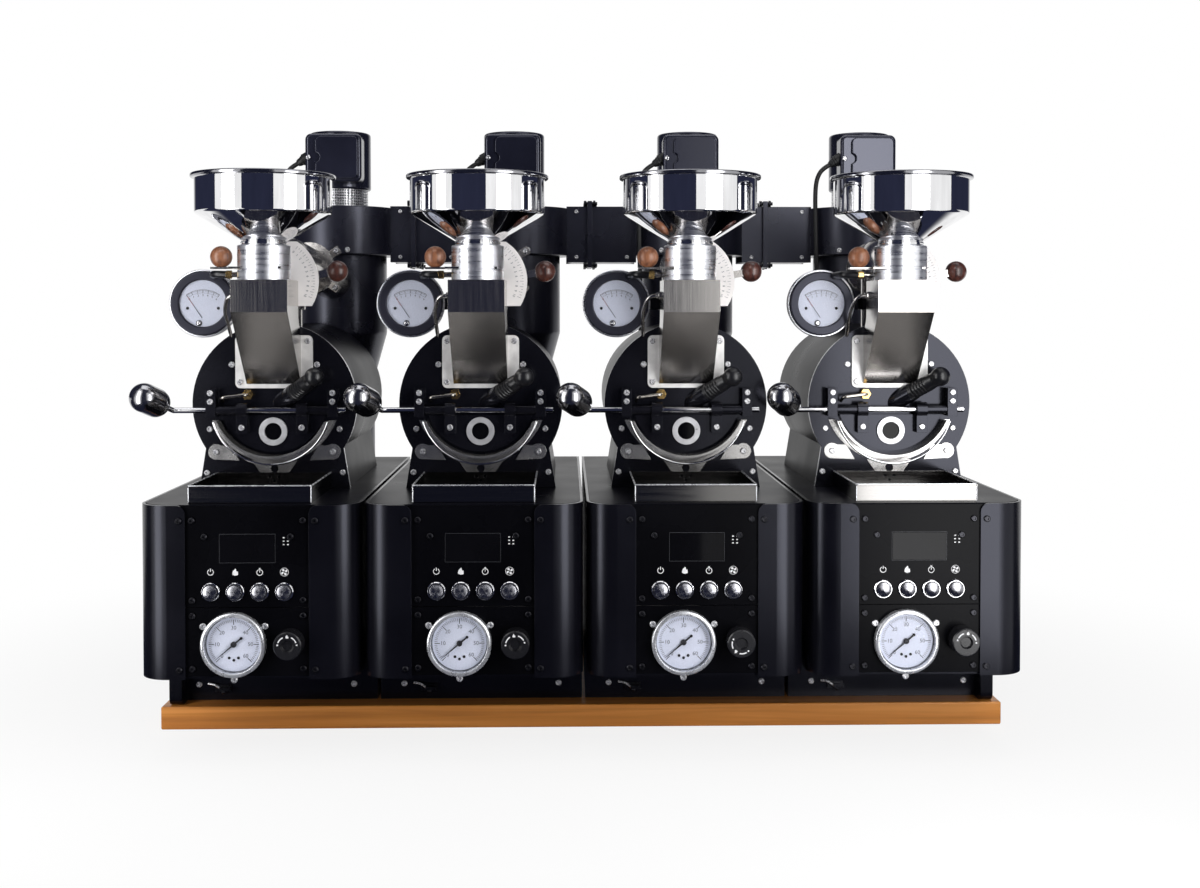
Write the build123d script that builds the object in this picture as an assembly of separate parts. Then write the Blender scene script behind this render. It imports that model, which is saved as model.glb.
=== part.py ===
from build123d import *
import math
import os

# A bank of four sample coffee roasters on one wooden board, in millimetres.
# Each station is drawn about its own centre line: x across, y back from the face of its control
# panel, z up from the table. The bank's origin is the middle of the board's underside.

# Bank
STATION_COUNT = 4
PITCH = 236.0
FIT = 0.1

# Wooden board
BOARD_HALF = 479.0
BOARD_FRONT = 120.0
BOARD_REAR = 515.0
BOARD_TOP = 26.0
BOARD_ROUND = 2.0
BOARD_MIDDLE = (BOARD_FRONT + BOARD_REAR) / 2

# Cabinet
CABINET_HALF = 116.0
CABINET_REAR = 507.0
CABINET_FOOT = 88.0
DECK_TOP = 271.0
SHEET = 3.0
CORNER_RADIUS = 32.0
FRAME_HALF = CABINET_HALF - SHEET - 0.2
FRAME_FRONT = SHEET + 0.2
PLINTH_FRONT = 150.0
END_TAB_FRONT = 123.0
END_TAB_WIDTH = 14.0
END_TAB_TOP = 60.0

# Control panel
PANEL_OPENING_HALF = 64.5
PANEL_HALF = 69.5
PANEL_TOP = 270.0
PANEL_SEAM = 163.4
SEAM_GAP = 0.6
DISPLAY_HALF = 28.5
DISPLAY_LOW = 211.0
DISPLAY_HIGH = 240.0
BUTTON_NAMES = ("power", "fire", "timer", "cooling")
BUTTON_X = (-38.5, -12.8, 12.8, 38.5)
BUTTON_Z = 180.0
BEZEL_RADIUS = 9.8
CAP_RADIUS = 7.2
BEZEL_PROUD = 3.0
CAP_PROUD = 6.2
SLEEVE_RADIUS = 8.4
SLEEVE_REAR = 12.0

# Gas gauge and gas knob
GAUGE_X = -14.2
GAUGE_Z = 125.0
GAUGE_RADIUS = 34.0
GAUGE_DIAL_RADIUS = 30.0
GAUGE_BODY_RADIUS = 31.0
GAUGE_PROUD = 10.0
GAUGE_REAR = 26.0
GAUGE_SCREW_RADIUS = 37.5
KNOB_X = 45.0
KNOB_Z = 127.0
KNOB_RADIUS = 14.7
KNOB_PROUD = 22.0
KNOB_DISH_RADIUS = 6.7
KNOB_DISH_DEPTH = 3.0
SPINDLE_RADIUS = 3.0

# Cooling tray
TRAY_HALF = 64.5
TRAY_FRONT = 13.0
TRAY_REAR = 144.0
TRAY_TOP = 289.5
TRAY_SHEET = 1.2

# Roasting drum, its housing and its front plate
DRUM_Z = 367.8
DRUM_RADIUS = 76.0
DRUM_MOUTH_RADIUS = 62.0
DRUM_FRONT = 156.0
DRUM_REAR = 330.0
DRUM_SHEET = 2.0
VANE_COUNT = 6
VANE_INNER_RADIUS = 62.0
SHAFT_RADIUS = 8.0
PLATE_FRONT = 147.0
PLATE_REAR = 152.0
PLATE_RADIUS = 93.7
PLATE_FOOT_HALF = 86.0
PLATE_SHOULDER_HALF = 78.0
PLATE_SHOULDER_Z = 321.0
JACKET_RADIUS = 91.0
JACKET_REAR = 395.0
JACKET_FOOT_HALF = 84.0
JACKET_SHOULDER_HALF = 76.0
BEARING_PLATE_FRONT = 345.0
BEARING_PLATE_REAR = 349.0

# Discharge door on its rod, and the trough round it
DOOR_CENTRE_Z = 375.6
DOOR_RADIUS = 62.4
DOOR_CHORD_Z = 355.3
DOOR_FRONT = 139.5
DOOR_REAR = 146.5
DISCHARGE_RADIUS = 57.0
DISCHARGE_CHORD_Z = 352.0
ROD_Y = 134.0
ROD_Z = 361.4
ROD_RADIUS = 3.2
ROD_LEFT = -112.0
ROD_RIGHT = 83.0
BLOCK_X = 69.0
BLOCK_WIDTH = 11.0
BLOCK_LOW = 354.0
BLOCK_HIGH = 386.0
BLOCK_FRONT = 128.0
ARM_X = 34.0
ARM_WIDTH = 12.0
ARM_LOW = 335.0
ARM_HUB_RADIUS = 8.5
SLEEVE_ON_ROD_RADIUS = 5.0
SIGHT_Z = 337.0
SIGHT_OUTER = 16.0
SIGHT_INNER = 9.9
WEIGHT_CENTRE = (-129.0, 101.0, 375.0)
WEIGHT_LENGTH = 50.0
WEIGHT_RADIUS = 16.5
WEIGHT_ROUND = 15.6
TROUGH_INNER = 66.0
TROUGH_OUTER = 68.5
TROUGH_FRONT = 122.0
TROUGH_HIGH = 349.0
LUG_X = 66.5
LUG_Z = 313.0
LUG_RADIUS = 9.0

# Bean trier, entering the drum at a slant
TRIER_BASE = (14.0, PLATE_FRONT, 374.0)
TRIER_WAY = (0.66, -0.59, 0.465)
TRIER_RADIUS = 7.0
TRIER_INSIDE = 65.0
TRIER_COLLAR = 15.0
TRIER_COLLAR_RADIUS = 10.5
TRIER_HANDLE_RADIUS = 9.4
TRIER_KNOB_RADIUS = 11.0
TRIER_HANDLE_END = 67.0

# Feed chute, collars, gate and hopper
CHUTE_HALF = 31.0
CHUTE_SHEET = 1.5
CHUTE_TOP = 508.4
FEED_Y = 93.0
FEED_BORE = 20.0
COLLAR_RADIUS = 29.0
GATE_LOW = 520.8
GATE_HIGH = 523.0
GATE_HALF = 21.5
GATE_LEFT = -58.0
GATE_RIGHT = 22.5
COLLAR_TOP = 546.8
BALL_RADIUS = 12.0
GATE_BALL_X = -47.0
HOPPER_RADIUS = 74.6
HOPPER_RIM_RADIUS = 78.8
HOPPER_CONE_TOP = 581.5
HOPPER_TOP = 624.8
FLANGE_HALF = 44.0
FLANGE_LOW = 386.0
FLANGE_HIGH = 446.6
FLANGE_FRONT = 144.0
THROAT_HALF = 27.0
THROAT_LOW = 393.0
THROAT_HIGH = 434.0

# Scale plate and damper
SCALE_RADIUS = 54.0
SCALE_CENTRE_Z = 508.0
SCALE_LOW = 480.0
SCALE_HIGH = 553.0
SCALE_LEFT = -10.0
SCALE_FRONT = 128.0
SCALE_REAR = 130.0
DAMPER_Z = 506.0
DAMPER_ANGLE = 10.4
DAMPER_REACH = 75.2
DAMPER_FRONT = 131.0
DAMPER_BALL_Y = 136.0
FLAP_RADIUS = 23.2

# Exhaust pipe, cyclone and blower behind each drum
RISER_Y = 185.0
PIPE_RADIUS = 25.0
PIPE_SHEET = 1.2
PIPE_BEND = 34.0
PIPE_TOP = 541.0
PIPE_RING_AT = 118.0
STACK_X = 27.6
STACK_Y = 462.0
CYCLONE_RADIUS = 62.0
CYCLONE_LOW = 445.0
CYCLONE_TOP = 549.0
CONE_FOOT = 326.0
CONE_FOOT_RADIUS = 30.0
CUP_RADIUS = 45.0
BLOWER_RADIUS = 78.0
BLOWER_TOP = 613.0
BLOWER_INLET_RADIUS = 34.0
CAGE_RADIUS = 37.0
CAGE_TOP = 638.0
MOTOR_RADIUS = 41.0
MOTOR_TOP = 715.0
STACK_WALL = 2.0
JUNCTION_HALF = 37.0
JUNCTION_LOW = 645.0
JUNCTION_HIGH = 708.5
JUNCTION_FRONT = 399.0
JUNCTION_REAR = 432.0
LID_LEFT = 14.0
LID_MARGIN = 4.0
LID_PROUD = 5.0
GLAND_Y = 415.0
GLAND_Z = 677.0
GLAND_LENGTH = 14.0
GLAND_TILT = 30.0

# Exhaust manifold along the back
DUCT_FRONT = 430.0
DUCT_REAR = 495.0
DUCT_LOW = 540.0
DUCT_HIGH = 615.0
DUCT_SHEET = 2.0
DUCT_FLANGE_AT = 130.0
DUCT_FLANGE_LIP = 7.0
OUTLET_RADIUS = 30.0
OUTLET_LENGTH = 40.0

# Air gauge beside the chute
AIR_X = -80.0
AIR_Z = 483.0
AIR_FRONT = 140.0
AIR_REAR = 185.0
AIR_RADIUS = 38.9
AIR_DIAL_RADIUS = 26.4
AIR_BODY_RADIUS = 30.0

# Motor lead: from the junction box's gland down to the gland in the deck
LEAD_RADIUS = 3.0
DECK_GLAND = (-38.0, 404.0)
DECK_GLAND_TOP = 286.0
LEAD_ROUTE = (
    (STACK_X - JUNCTION_HALF - GLAND_LENGTH * math.cos(math.radians(GLAND_TILT)), GLAND_Y,
     GLAND_Z - GLAND_LENGTH * math.sin(math.radians(GLAND_TILT))),
    (-30.0, GLAND_Y, 665.1),
    (-36.5, 414.7, 656.5),
    (-40.0, 414.2, 644.0),
    (-41.0, 413.0, 622.0),
    (-40.4, 411.0, 585.0),
    (-39.4, 408.0, 520.0),
    (-38.5, 405.4, 441.0),
    (DECK_GLAND[0], DECK_GLAND[1], 363.0),
    (DECK_GLAND[0], DECK_GLAND[1], DECK_GLAND_TOP),
)
LEAD_RUN_SHARE = 0.45

# Cap screws
SCREW_RADIUS = 3.4
SCREW_HEIGHT = 2.4
SOCKET_RADIUS = 1.7
SOCKET_DEPTH = 1.4


# Plain shapes

def block(x0, x1, y0, y1, z0, z1):
    """Box between two opposite corners."""
    middle = Pos((x0 + x1) / 2, (y0 + y1) / 2, (z0 + z1) / 2)
    return middle * Box(x1 - x0, y1 - y0, z1 - z0)


def rod_x(radius, x0, x1, y, z):
    """Round bar along x."""
    return Pos((x0 + x1) / 2, y, z) * Rot(0, 90, 0) * Cylinder(radius, x1 - x0)


def rod_y(radius, y0, y1, x, z):
    """Round bar along y."""
    return Pos(x, (y0 + y1) / 2, z) * Rot(90, 0, 0) * Cylinder(radius, y1 - y0)


def rod_z(radius, z0, z1, x, y):
    """Round bar along z."""
    return Pos(x, y, (z0 + z1) / 2) * Cylinder(radius, z1 - z0)


def turned(points, frame=Plane.XY):
    """Solid of revolution about the frame's z axis from (radius, height) points."""
    section = Plane.XZ * Polygon(*points, align=None)
    return frame * revolve(section, Axis.Z)


def upright(sketch, y0, y1):
    """Plate cut from an (x, z) sketch, from y0 back to y1."""
    return extrude(Plane.XZ.offset(-y0) * sketch, -(y1 - y0))


def facing(x, z, y=0.0):
    """Frame at a point of an upright face, its z axis towards the user."""
    return Plane(origin=(x, y, z), x_dir=(1, 0, 0), z_dir=(0, -1, 0))


def standing(x, y, z=0.0):
    """Upright frame at a point."""
    return Plane(origin=(x, y, z))


def ball(x, y, z, radius=BALL_RADIUS):
    """Ball at a point."""
    return Pos(x, y, z) * Sphere(radius)


# Base and cabinet

def base_board():
    """Solid wooden board that carries the whole bank."""
    board = block(-BOARD_HALF, BOARD_HALF, BOARD_FRONT, BOARD_REAR, 0, BOARD_TOP)
    return [fillet(board.edges(), BOARD_ROUND)]


def cabinet_frame(n):
    """Plinth, floor, rear wall and deck, folded and welded into one frame."""
    half = FRAME_HALF
    rear = CABINET_REAR - 0.2
    plinth = block(-CABINET_HALF, CABINET_HALF, PLINTH_FRONT, CABINET_REAR, BOARD_TOP, CABINET_FOOT)
    plinth -= block(-CABINET_HALF + SHEET, CABINET_HALF - SHEET, PLINTH_FRONT + SHEET,
                    CABINET_REAR - SHEET, BOARD_TOP - 1, CABINET_FOOT - SHEET)
    floor = level_sheet(CABINET_FOOT)
    wall = block(-half, half, rear - SHEET, rear, CABINET_FOOT, DECK_TOP)
    deck = level_sheet(DECK_TOP - SHEET)
    deck -= block(-60, 60, 170, 345, DECK_TOP - 2 * SHEET, DECK_TOP + 1)
    frame = plinth + floor + wall + deck
    for side, end in ((-1, 0), (1, STATION_COUNT - 1)):
        if n == end:
            frame += end_tab(side)
    for level in range(6):
        slot_z = 190.0 + 9.0 * level
        frame -= block(-45, 45, rear - 2 * SHEET, rear + 1, slot_z, slot_z + 4)
    frame -= rod_y(6.0 + FIT, rear - 2 * SHEET, rear + 1, -60, 130)
    frame -= block(35.9, 84.1, rear - 2 * SHEET, rear + 1, 115.9, 144.1)
    latch = block(-70, -52, PLINTH_FRONT - 3, PLINTH_FRONT, 36, 44)
    latch += block(-64, -52, PLINTH_FRONT - 10, PLINTH_FRONT - 3, 38, 42)
    inlet = block(36, 84, rear - 20, rear + 2.5, 116, 144)
    inlet -= block(44, 76, rear - 12, rear + 3, 121, 139)
    return [frame, latch, inlet]


def level_sheet(z):
    """Level sheet inside the cabinet's shell, its front corners rounded like the shell's."""
    sheet = block(-FRAME_HALF, FRAME_HALF, FRAME_FRONT, CABINET_REAR - 0.2, z, z + SHEET)
    corners = sheet.edges().filter_by(Axis.Z).group_by(Axis.Y)[0]
    return fillet(corners, CORNER_RADIUS - SHEET)


def end_tab(side):
    """Foot tab at an end of the bank, its lower front corner rounded."""
    inner = side * (CABINET_HALF - END_TAB_WIDTH)
    outer = side * CABINET_HALF
    tab = block(min(inner, outer), max(inner, outer), END_TAB_FRONT, PLINTH_FRONT,
                BOARD_TOP, END_TAB_TOP)
    edges = tab.edges().filter_by(Axis.X).group_by(Axis.Z)[0].sort_by(Axis.Y)
    return fillet(edges[0], 10)


def cabinet_shell():
    """Bent sheet round both sides and the front corners, open at the control panel."""
    depth = CABINET_REAR + SHEET
    outer = Pos(0, -SHEET + depth / 2) * Rectangle(2 * CABINET_HALF, depth)
    outer = fillet(outer.vertices().group_by(Axis.Y)[0], CORNER_RADIUS)
    hollow = Pos(0, depth / 2) * Rectangle(2 * (CABINET_HALF - SHEET), depth)
    hollow = fillet(hollow.vertices().group_by(Axis.Y)[0], CORNER_RADIUS - SHEET)
    wall = extrude(Pos(0, 0, CABINET_FOOT) * (outer - hollow), DECK_TOP - CABINET_FOOT)
    wall -= block(-PANEL_OPENING_HALF, PANEL_OPENING_HALF, -2 * SHEET, SHEET,
                  CABINET_FOOT - 1, DECK_TOP + 1)
    corners = [edge for edge in wall.edges().filter_by(Axis.Y)
               if abs(abs(edge.center().X) - PANEL_OPENING_HALF) < 0.1
               and edge.center().Z > DECK_TOP - 1]
    return [fillet(corners, 9)]


def control_panel():
    """Upper and lower panel plates, the display window and the four button bezels."""
    upper = block(-PANEL_HALF, PANEL_HALF, 0, SHEET, PANEL_SEAM + SEAM_GAP / 2, PANEL_TOP)
    upper -= block(-DISPLAY_HALF, DISPLAY_HALF, -1, SHEET + 1, DISPLAY_LOW, DISPLAY_HIGH)
    lower = block(-PANEL_HALF, PANEL_HALF, 0, SHEET, CABINET_FOOT + SHEET, PANEL_SEAM - SEAM_GAP / 2)
    lower -= rod_y(GAUGE_BODY_RADIUS, -1, SHEET + 1, GAUGE_X, GAUGE_Z)
    lower -= rod_y(SPINDLE_RADIUS + FIT, -1, SHEET + 1, KNOB_X, KNOB_Z)
    window = block(-DISPLAY_HALF, DISPLAY_HALF, -0.6, SHEET, DISPLAY_LOW, DISPLAY_HIGH)
    pieces = [lower, window]
    for x in BUTTON_X:
        upper -= rod_y(SLEEVE_RADIUS, -1, SHEET + 1, x, BUTTON_Z)
        pieces.append(button_bezel(x))
    return [upper] + pieces


def button_bezel(x):
    """Ring in front of the panel with the sleeve that guides the button."""
    bore = CAP_RADIUS + FIT
    profile = (
        (bore, BEZEL_PROUD),
        (BEZEL_RADIUS - 0.8, BEZEL_PROUD),
        (BEZEL_RADIUS, BEZEL_PROUD - 0.8),
        (BEZEL_RADIUS, 0),
        (SLEEVE_RADIUS, 0),
        (SLEEVE_RADIUS, -SLEEVE_REAR),
        (bore, -SLEEVE_REAR),
    )
    return turned(profile, facing(x, BUTTON_Z))


def push_button(x):
    """Domed metal button cap on its plunger."""
    edge = CAP_PROUD - 1.4
    rise = CAP_PROUD - edge
    dome = (CAP_RADIUS ** 2 + rise ** 2) / (2 * rise)
    cap = rod_y(CAP_RADIUS, -edge, SLEEVE_REAR - 4, x, BUTTON_Z)
    crown = ball(x, -CAP_PROUD + dome, BUTTON_Z, dome)
    crown &= rod_y(CAP_RADIUS, -CAP_PROUD - 1, -edge, x, BUTTON_Z)
    plunger = rod_y(4.0, SLEEVE_REAR - 4, SLEEVE_REAR + 4, x, BUTTON_Z)
    return [cap + crown + plunger]


# Gauges and gas knob

def gas_gauge():
    """Round dial gauge in the lower panel: case, dial, needle and window."""
    case = turned((
        (0, -GAUGE_REAR),
        (GAUGE_BODY_RADIUS - 1, -GAUGE_REAR),
        (GAUGE_BODY_RADIUS - 1, 0),
        (GAUGE_RADIUS, 0),
        (GAUGE_RADIUS, GAUGE_PROUD - 2),
        (GAUGE_RADIUS - 2, GAUGE_PROUD),
        (GAUGE_DIAL_RADIUS, GAUGE_PROUD),
        (GAUGE_DIAL_RADIUS, 1),
        (0, 1),
    ), facing(GAUGE_X, GAUGE_Z))
    dial = rod_y(GAUGE_DIAL_RADIUS, -2.2, -1, GAUGE_X, GAUGE_Z)
    hub = rod_y(3.0, -5.2, -2.2, GAUGE_X, GAUGE_Z)
    hand = Pos(9.0, 0) * Rectangle(26, 1.4)
    needle = facing(GAUGE_X, GAUGE_Z, -3.6) * Rot(0, 0, 225) * extrude(hand, 0.8)
    window = rod_y(GAUGE_DIAL_RADIUS, -8.6, -7.0, GAUGE_X, GAUGE_Z)
    return [case, dial, hub + needle, window]


def air_gauge():
    """Larger flanged dial gauge on an arm from the exhaust pipe."""
    depth = AIR_REAR - AIR_FRONT
    case = turned((
        (0, -depth),
        (AIR_BODY_RADIUS, -depth),
        (AIR_BODY_RADIUS, -9),
        (AIR_RADIUS, -9),
        (AIR_RADIUS, -3),
        (AIR_RADIUS - 4, 0),
        (AIR_DIAL_RADIUS + 2.5, 0),
        (AIR_DIAL_RADIUS, -3.5),
        (0, -3.5),
    ), facing(AIR_X, AIR_Z, AIR_FRONT))
    window_front = AIR_FRONT + 1.0
    window = rod_y(AIR_DIAL_RADIUS - FIT, window_front, window_front + 1.2, AIR_X, AIR_Z)
    ring = rod_y(AIR_BODY_RADIUS + 5, AIR_FRONT + 9, AIR_FRONT + 14, AIR_X, AIR_Z)
    ring -= rod_y(AIR_BODY_RADIUS, AIR_FRONT + 8, AIR_FRONT + 15, AIR_X, AIR_Z)
    clamp_low = AIR_Z - 7
    clamp_high = AIR_Z + 7
    arm = block(AIR_X - 8, -PIPE_RADIUS, AIR_REAR, AIR_REAR + 4, clamp_low, clamp_high)
    arm += rod_z(PIPE_RADIUS + 4, clamp_low, clamp_high, 0, RISER_Y)
    arm -= rod_z(PIPE_RADIUS + FIT, clamp_low - 1, clamp_high + 1, 0, RISER_Y)
    nipple = rod_y(4.0, AIR_REAR, AIR_REAR + 12, AIR_X - 16, AIR_Z)
    return [case, window, ring, arm, nipple]


def gas_knob():
    """Round gas knob with a dished face and an index groove, on its spindle."""
    cap = turned((
        (0, 1),
        (KNOB_RADIUS, 1),
        (KNOB_RADIUS, KNOB_PROUD - 1.2),
        (KNOB_RADIUS - 1.2, KNOB_PROUD),
        (KNOB_DISH_RADIUS, KNOB_PROUD),
        (KNOB_DISH_RADIUS - 1.5, KNOB_PROUD - KNOB_DISH_DEPTH),
        (0, KNOB_PROUD - KNOB_DISH_DEPTH),
    ), facing(KNOB_X, KNOB_Z))
    cap -= block(KNOB_X - 0.7, KNOB_X + 0.7, -KNOB_PROUD - 1, -KNOB_PROUD + 1,
                 KNOB_Z + KNOB_RADIUS - 2.2, KNOB_Z + KNOB_RADIUS + 1)
    spindle = rod_y(SPINDLE_RADIUS, -1, 12, KNOB_X, KNOB_Z)
    return [cap + spindle]


def cooling_tray():
    """Folded stainless tray that takes the roasted beans; it slides out to the front."""
    tray = block(-TRAY_HALF, TRAY_HALF, TRAY_FRONT, TRAY_REAR, DECK_TOP, TRAY_TOP)
    tray -= block(-TRAY_HALF + TRAY_SHEET, TRAY_HALF - TRAY_SHEET, TRAY_FRONT + TRAY_SHEET,
                  TRAY_REAR - TRAY_SHEET, DECK_TOP + TRAY_SHEET, TRAY_TOP + 1)
    tray += block(-TRAY_HALF, TRAY_HALF, TRAY_FRONT - 4, TRAY_FRONT, TRAY_TOP - TRAY_SHEET, TRAY_TOP)
    for x, z in ((-5, 284.5), (5, 284.5), (0, 279.5)):
        tray -= rod_y(1.8, TRAY_REAR - 3, TRAY_REAR + 1, x, z)
    return [tray]


# Drum, housing and front plate

def plate_outline(radius, shoulder_half, shoulder_z, foot_half, foot_z):
    """Round plate standing on two splayed legs."""
    legs = Polygon((-foot_half, foot_z), (foot_half, foot_z), (shoulder_half, shoulder_z),
                   (-shoulder_half, shoulder_z), align=None)
    return Pos(0, DRUM_Z) * Circle(radius) + legs


def trier_frame():
    """Frame on the trier's axis, at the front plate, its z axis out towards the handle."""
    return Plane(origin=TRIER_BASE, x_dir=(0, 0.62, 0.785), z_dir=TRIER_WAY)


def front_plate():
    """Black front plate with the hinge blocks, the trier's collar and the bean probe."""
    sketch = plate_outline(PLATE_RADIUS, PLATE_SHOULDER_HALF, PLATE_SHOULDER_Z,
                           PLATE_FOOT_HALF, DECK_TOP)
    throat_z = (THROAT_LOW + THROAT_HIGH) / 2
    sketch -= Pos(0, throat_z) * Rectangle(2 * THROAT_HALF, THROAT_HIGH - THROAT_LOW)
    sketch -= lower_segment(DISCHARGE_RADIUS, DISCHARGE_CHORD_Z)
    bore = trier_frame() * Cylinder(TRIER_RADIUS + FIT, 200)
    plate = upright(sketch, PLATE_FRONT, PLATE_REAR) - bore
    collar = trier_frame() * Cylinder(TRIER_COLLAR_RADIUS, 2 * TRIER_COLLAR)
    collar -= block(-100, 100, PLATE_FRONT, 300, 300, 450)
    collar -= bore
    return [plate, collar] + [hinge_block(side) for side in (-1, 1)] + bean_probe()


def lower_segment(radius, chord_z):
    """Part of a disc about the door's centre that lies below a level chord."""
    disc = Pos(0, DOOR_CENTRE_Z) * Circle(radius)
    below = Pos(0, chord_z - radius) * Rectangle(4 * radius, 2 * radius)
    return disc & below


def hinge_block(side):
    """Block on the front plate that carries the door's rod."""
    x0 = side * BLOCK_X - BLOCK_WIDTH / 2
    body = block(x0, x0 + BLOCK_WIDTH, BLOCK_FRONT, PLATE_FRONT, BLOCK_LOW, BLOCK_HIGH)
    return body - rod_x(ROD_RADIUS + FIT, x0 - 1, x0 + BLOCK_WIDTH + 1, ROD_Y, ROD_Z)


def bean_probe():
    """Brass compression nut with the bent sheath of the bean thermometer."""
    x, z = -29.0, 379.0
    nut = facing(x, z, PLATE_FRONT) * extrude(RegularPolygon(6.2, 6), 9)
    path = FilletPolyline((x, PLATE_FRONT - 9, z), (x, 130, z), (-57, 127, 376),
                          (-57.5, 140, 371), radius=4)
    sheath = sweep((path ^ 0) * Circle(1.9), path)
    return [nut, sheath]


def drum_housing():
    """Jacket with its splayed feet, the burner below the drum and the gas train behind."""
    outer = plate_outline(JACKET_RADIUS, JACKET_SHOULDER_HALF, PLATE_SHOULDER_Z,
                          JACKET_FOOT_HALF, DECK_TOP)
    hollow = plate_outline(JACKET_RADIUS - SHEET, JACKET_SHOULDER_HALF - SHEET, PLATE_SHOULDER_Z,
                           JACKET_FOOT_HALF - SHEET, DECK_TOP - 1)
    jacket = upright(outer, PLATE_REAR, JACKET_REAR)
    jacket -= upright(hollow, PLATE_REAR - 1, JACKET_REAR - SHEET)
    jacket -= rod_z(PIPE_RADIUS - PIPE_SHEET, DRUM_Z + 60, DRUM_Z + 120, 0, RISER_Y)
    burner = rod_x(6.0, -25, 25, 336, 281)
    for x in (-25, 25):
        burner += rod_y(6.0, 180, 342, x, 281)
    burner += rod_z(5.0, 200, 281, 0, 336)
    burner += block(-14, 14, 322, 350, 170, 200)
    burner += rod_z(5.0, 130, 170, 0, 336) + rod_y(5.0, 331, 450, 0, 130)
    burner += rod_x(5.0, -65, 0, 450, 130) + rod_y(5.0, 445, CABINET_REAR + 2, -60, 130)
    burner += rod_y(9.0, CABINET_REAR - 0.2, CABINET_REAR + 5, -60, 130)
    burner += rod_y(4.5, CABINET_REAR + 5, CABINET_REAR + 25, -60, 130)
    valve = rod_y(11.0, 14, 44, KNOB_X, KNOB_Z) + rod_z(4.0, 100, KNOB_Z, KNOB_X, 34)
    return [jacket, burner, valve]


def drum_drive():
    """Rear bearing plate and the gear motor bolted to it."""
    plate = rod_y(JACKET_RADIUS - SHEET - 0.4, BEARING_PLATE_FRONT, BEARING_PLATE_REAR, 0, DRUM_Z)
    boss = rod_y(16, BEARING_PLATE_FRONT - 6, BEARING_PLATE_FRONT, 0, DRUM_Z)
    bore = rod_y(SHAFT_RADIUS + 0.05, BEARING_PLATE_FRONT - 10, BEARING_PLATE_REAR + 1, 0, DRUM_Z)
    gearbox = rod_y(32, BEARING_PLATE_REAR, 371, 0, DRUM_Z)
    motor = rod_y(24, 371, 391, 0, DRUM_Z)
    return [plate + boss - bore, gearbox + motor]


def roasting_drum():
    """Open-mouthed drum with lifting vanes, on its shaft."""
    drum = rod_y(DRUM_RADIUS, DRUM_FRONT, DRUM_REAR, 0, DRUM_Z)
    drum -= rod_y(DRUM_RADIUS - DRUM_SHEET, DRUM_FRONT + DRUM_SHEET, DRUM_REAR - DRUM_SHEET, 0, DRUM_Z)
    drum -= rod_y(DRUM_MOUTH_RADIUS, DRUM_FRONT - 1, DRUM_FRONT + 2 * DRUM_SHEET, 0, DRUM_Z)
    half = DRUM_SHEET / 2
    vane = block(VANE_INNER_RADIUS, DRUM_RADIUS - half, DRUM_FRONT + 8, DRUM_REAR - half, -half, half)
    for k in range(VANE_COUNT):
        drum += Pos(0, 0, DRUM_Z) * Rot(0, 360 / VANE_COUNT * k, 0) * vane
    drum += rod_y(14, DRUM_REAR, DRUM_REAR + 6, 0, DRUM_Z)
    drum += rod_y(SHAFT_RADIUS, DRUM_REAR, BEARING_PLATE_REAR - 1, 0, DRUM_Z)
    return [drum]


# Discharge door and trough

def discharge_door():
    """Door on its arms and rod, with the sight glass and the counterweight."""
    slab = upright(lower_segment(DOOR_RADIUS, DOOR_CHORD_Z), DOOR_FRONT, DOOR_REAR)
    slab -= rod_y(SIGHT_INNER, DOOR_FRONT - 1, DOOR_REAR + 1, 0, SIGHT_Z)
    rod = rod_x(ROD_RADIUS, ROD_LEFT, ROD_RIGHT, ROD_Y, ROD_Z)
    block_inner = BLOCK_X - BLOCK_WIDTH / 2 - 2 * FIT
    hanger = slab + rod
    for side in (-1, 1):
        x0 = side * ARM_X - ARM_WIDTH / 2
        hanger += block(x0, x0 + ARM_WIDTH, ROD_Y - 5, DOOR_FRONT, ARM_LOW, ROD_Z)
        hanger += rod_x(ARM_HUB_RADIUS, x0, x0 + ARM_WIDTH, ROD_Y, ROD_Z)
        ends = sorted((side * (ARM_X + ARM_WIDTH / 2), side * block_inner))
        hanger += rod_x(SLEEVE_ON_ROD_RADIUS, ends[0], ends[1], ROD_Y, ROD_Z)
    ring = rod_y(SIGHT_OUTER, DOOR_FRONT - 3, DOOR_FRONT, 0, SIGHT_Z)
    ring -= rod_y(SIGHT_INNER, DOOR_FRONT - 4, DOOR_FRONT + 1, 0, SIGHT_Z)
    glass = rod_y(SIGHT_INNER, DOOR_FRONT, DOOR_REAR - 1, 0, SIGHT_Z)
    screws = [cap_screw(facing(side * ARM_X, 342, ROD_Y - 5)) for side in (-1, 1)]
    return [hanger, ring, glass, counterweight()] + screws


def counterweight():
    """Egg-shaped weight on the end of the door's rod."""
    rod_end = Vector(ROD_LEFT, ROD_Y, ROD_Z)
    way = Vector(*WEIGHT_CENTRE) - rod_end
    egg = Cylinder(WEIGHT_RADIUS, WEIGHT_LENGTH)
    egg = fillet(egg.edges().filter_by(GeomType.CIRCLE), WEIGHT_ROUND)
    neck = Pos(0, 0, -way.length / 2) * Cylinder(ROD_RADIUS, way.length)
    frame = Plane(origin=WEIGHT_CENTRE, x_dir=(0, 0.4, -1), z_dir=way.normalized())
    return frame * (egg + neck) - rod_x(ROD_RADIUS, ROD_LEFT, ROD_RIGHT, ROD_Y, ROD_Z)


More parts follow.
